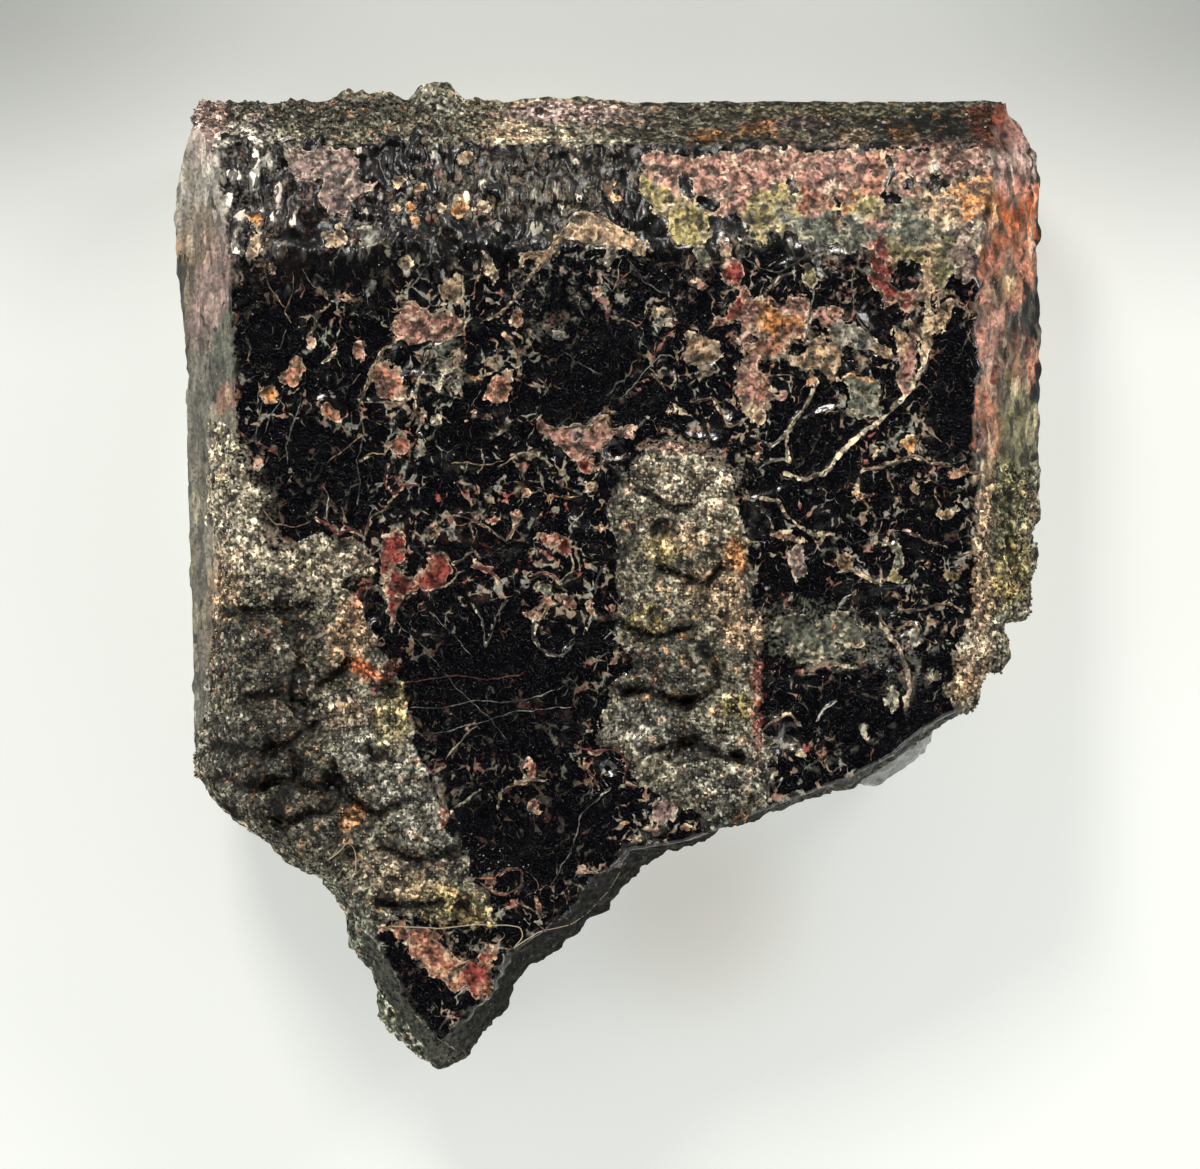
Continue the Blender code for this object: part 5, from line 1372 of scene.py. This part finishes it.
chip = frame["nodes"]["quartz_chip"].copy()
chip.data = chip.data.copy()
chip.name = "quartz_splinter"
bpy.context.collection.objects.link(chip)
select_all_of(chip)
bpy.ops.mesh.remove_doubles(threshold=0.002 * MM)
bpy.ops.mesh.quads_convert_to_tris()
bpy.ops.object.mode_set(mode="OBJECT")
even = chip.modifiers.new("even", "REMESH")
even.mode = "VOXEL"
even.voxel_size = CHIP_SPACING * MM
bpy.ops.object.modifier_apply(modifier=even.name)
for vertex, outward in zip(chip.data.vertices, [v.normal.copy() for v in chip.data.vertices]):
    place = vertex.co / MM
    waves = sum(tall * noise.noise(place / wide) for wide, tall in CHIP_WAVES)
    vertex.co += outward * (waves - 0.02) * MM
chip.data.update()
clear, shader, at = begin_material("quartz")
plug(
    shader, Base_Color=(0.4, 0.41, 0.39, 1.0), Roughness=0.16, IOR=1.544,
    Transmission_Weight=0.6,
)
chip.data.materials.clear()
chip.data.materials.append(clear)
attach(chip, "root")
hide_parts("quartz_chip")

# Lint
# Three pale threads of lint that cling to the broken lower edge and the crust above it.

LINT_RADIUS = 0.014
LINT_LIFT = 0.06
LINT_SPREAD = 0.03
LINT_SEED = 50
LINT_THREADS = [
    [(-8.3, -8.05), (-7.7, -7.85), (-7.4, -7.6), (-7.2, -7.3), (-7.05, -7.5), (-6.95, -7.9),
     (-7.0, -8.25), (-7.3, -8.4), (-7.6, -8.35), (-8.0, -8.4)],
    [(-6.0, -9.7), (-4.6, -9.75), (-3.6, -9.65), (-2.4, -9.7), (-2.3, -10.0), (-2.6, -10.3)],
    [(-2.6, -10.3), (-1.9, -9.85), (-1.0, -9.7), (-0.5, -9.4), (-0.2, -9.0), (0.1, -8.7),
     (0.45, -8.1)],
]
bpy.ops.object.select_all(action="DESELECT")
for index, corners in enumerate(LINT_THREADS):
    curve = bpy.data.curves.new(f"thread_{index}", "CURVE")
    curve.dimensions = "3D"
    curve.bevel_depth = LINT_RADIUS * MM
    curve.bevel_resolution = 1
    spline = curve.splines.new("NURBS")
    line = laid_on_skin(corners, LINT_SPREAD, LINT_SEED + index)[::3]
    spline.points.add(len(line) - 1)
    for point, place in zip(spline.points, line):
        point.co = (place.x, place.y, place.z + LINT_LIFT * MM, 1.0)
    spline.use_endpoint_u = True
    spline.order_u = 4
    thread = bpy.data.objects.new(f"thread_{index}", curve)
    bpy.context.collection.objects.link(thread)
    thread.select_set(True)
    bpy.context.view_layer.objects.active = thread
bpy.ops.object.convert(target="MESH")
bpy.ops.object.join()
lint = bpy.context.object
lint.name = "lint"
cotton, shader, at = begin_material("lint")
plug(shader, Base_Color=(*paint(196, 180, 150), 1.0), Roughness=0.6)
lint.data.materials.append(cotton)
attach(lint, "root")

# The photograph's surroundings
# A pale sheet under the crystal, a dim sky that is dark overhead, and soft lamps low
# around it, so that flat black faces stay black and tilted ones shine.

CAMERA_DISTANCE = 0.4
SHARP_HEIGHT = 6.0 * MM
FRAME_WIDTH = 33.6 * MM
SENSOR_WIDTH = 36.0

bpy.ops.object.camera_add(
    location=((-0.182 + CENTRING.x) * MM, (-0.182 + CENTRING.y) * MM, SHARP_HEIGHT + CAMERA_DISTANCE)
)
camera = bpy.context.object
camera.rotation_euler = (0.0, 0.0, 0.0)
camera.data.sensor_width = SENSOR_WIDTH
camera.data.lens = SENSOR_WIDTH * CAMERA_DISTANCE / FRAME_WIDTH
camera.data.dof.use_dof = False
bpy.context.scene.camera = camera

bpy.ops.mesh.primitive_plane_add(size=1.2)
floor = bpy.context.object
floor.name = "sheet"
sheet, shader, at = begin_material("pale sheet")
paper = at.node("ShaderNodeRGB")
paper.socket.default_value = (0.55, 0.567, 0.54, 1.0)
height_up = at.node("ShaderNodeSeparateXYZ", output="Y", Vector=at)
across = at.node("ShaderNodeSeparateXYZ", output="X", Vector=at)
# Painted shade: the sheet is darker towards the top, and most at its top corners.
shade = height_up.rise(5.5 * MM, 17.0 * MM)
edge_shade = across.maths("ABSOLUTE", across).rise(4.0 * MM, 20.0 * MM)
paper = paper.shaded(1.0 - shade * (0.31 + 0.3 * edge_shade))
# Painted light: the sheet is made a little lighter towards the right.
paper = paper.shaded(1.03 + 0.02 * across.rise(2.0 * MM, 14.0 * MM))
# Painted shadow: a soft, warm darker patch on the sheet below the break.
below = at.node("ShaderNodeMapping", Vector=at, Location=(-2.6 * MM, 9.6 * MM, 0.0))
below = below.node("ShaderNodeVectorMath", {"operation": "LENGTH"}, output="Value", _0=below)
paper = paper.mixed((0.42, 0.38, 0.33), below.rise(4.5 * MM, 0.5 * MM) * 0.45)
# The sheet glows in its own colour, a painted light that keeps the shadows on it faint.
plug(shader, Base_Color=paper, Roughness=0.7, Emission_Color=paper, Emission_Strength=0.85)
floor.data.materials.append(sheet)

# Lamps: power in watts, side in metres, distance, angle from overhead, bearing from +X.
LAMPS = [
    ("key", 0.44, 0.07, 0.30, 46.0, 112.0, (1.0, 0.965, 0.91)),
    ("right", 0.24, 0.10, 0.32, 54.0, 40.0, (1.0, 0.97, 0.92)),
    ("low left", 0.14, 0.12, 0.32, 60.0, 200.0, (1.0, 0.98, 0.96)),
    ("near", 0.13, 0.16, 0.34, 60.0, 325.0, (0.98, 1.0, 0.97)),
]
for name, power, side, distance, lean, bearing, tone in LAMPS:
    lean, bearing = math.radians(lean), math.radians(bearing)
    place = Vector((
        math.sin(lean) * math.cos(bearing), math.sin(lean) * math.sin(bearing), math.cos(lean)
    )) * distance
    bpy.ops.object.light_add(type="AREA", location=place)
    lamp = bpy.context.object
    lamp.name = name
    lamp.rotation_euler = place.to_track_quat("Z", "Y").to_euler()
    lamp.data.energy = power
    lamp.data.size = side
    lamp.data.color = tone

world = bpy.data.worlds.new("dim sky")
bpy.context.scene.world = world
world.use_nodes = True
background = world.node_tree.nodes["Background"]
direction = world.node_tree.nodes.new("ShaderNodeTexCoord")
upward = Wire(world.node_tree, direction.outputs["Generated"])
upward = upward.node("ShaderNodeSeparateXYZ", output="Z", Vector=upward)
glow = 0.005 + 0.8 * upward.rise(0.8, 0.52) * upward.rise(-0.1, 0.3)
world.node_tree.links.new(glow.socket, background.inputs["Strength"])
background.inputs["Color"].default_value = (1.0, 1.0, 1.0, 1.0)
bpy.context.scene.view_settings.view_transform = "Standard"
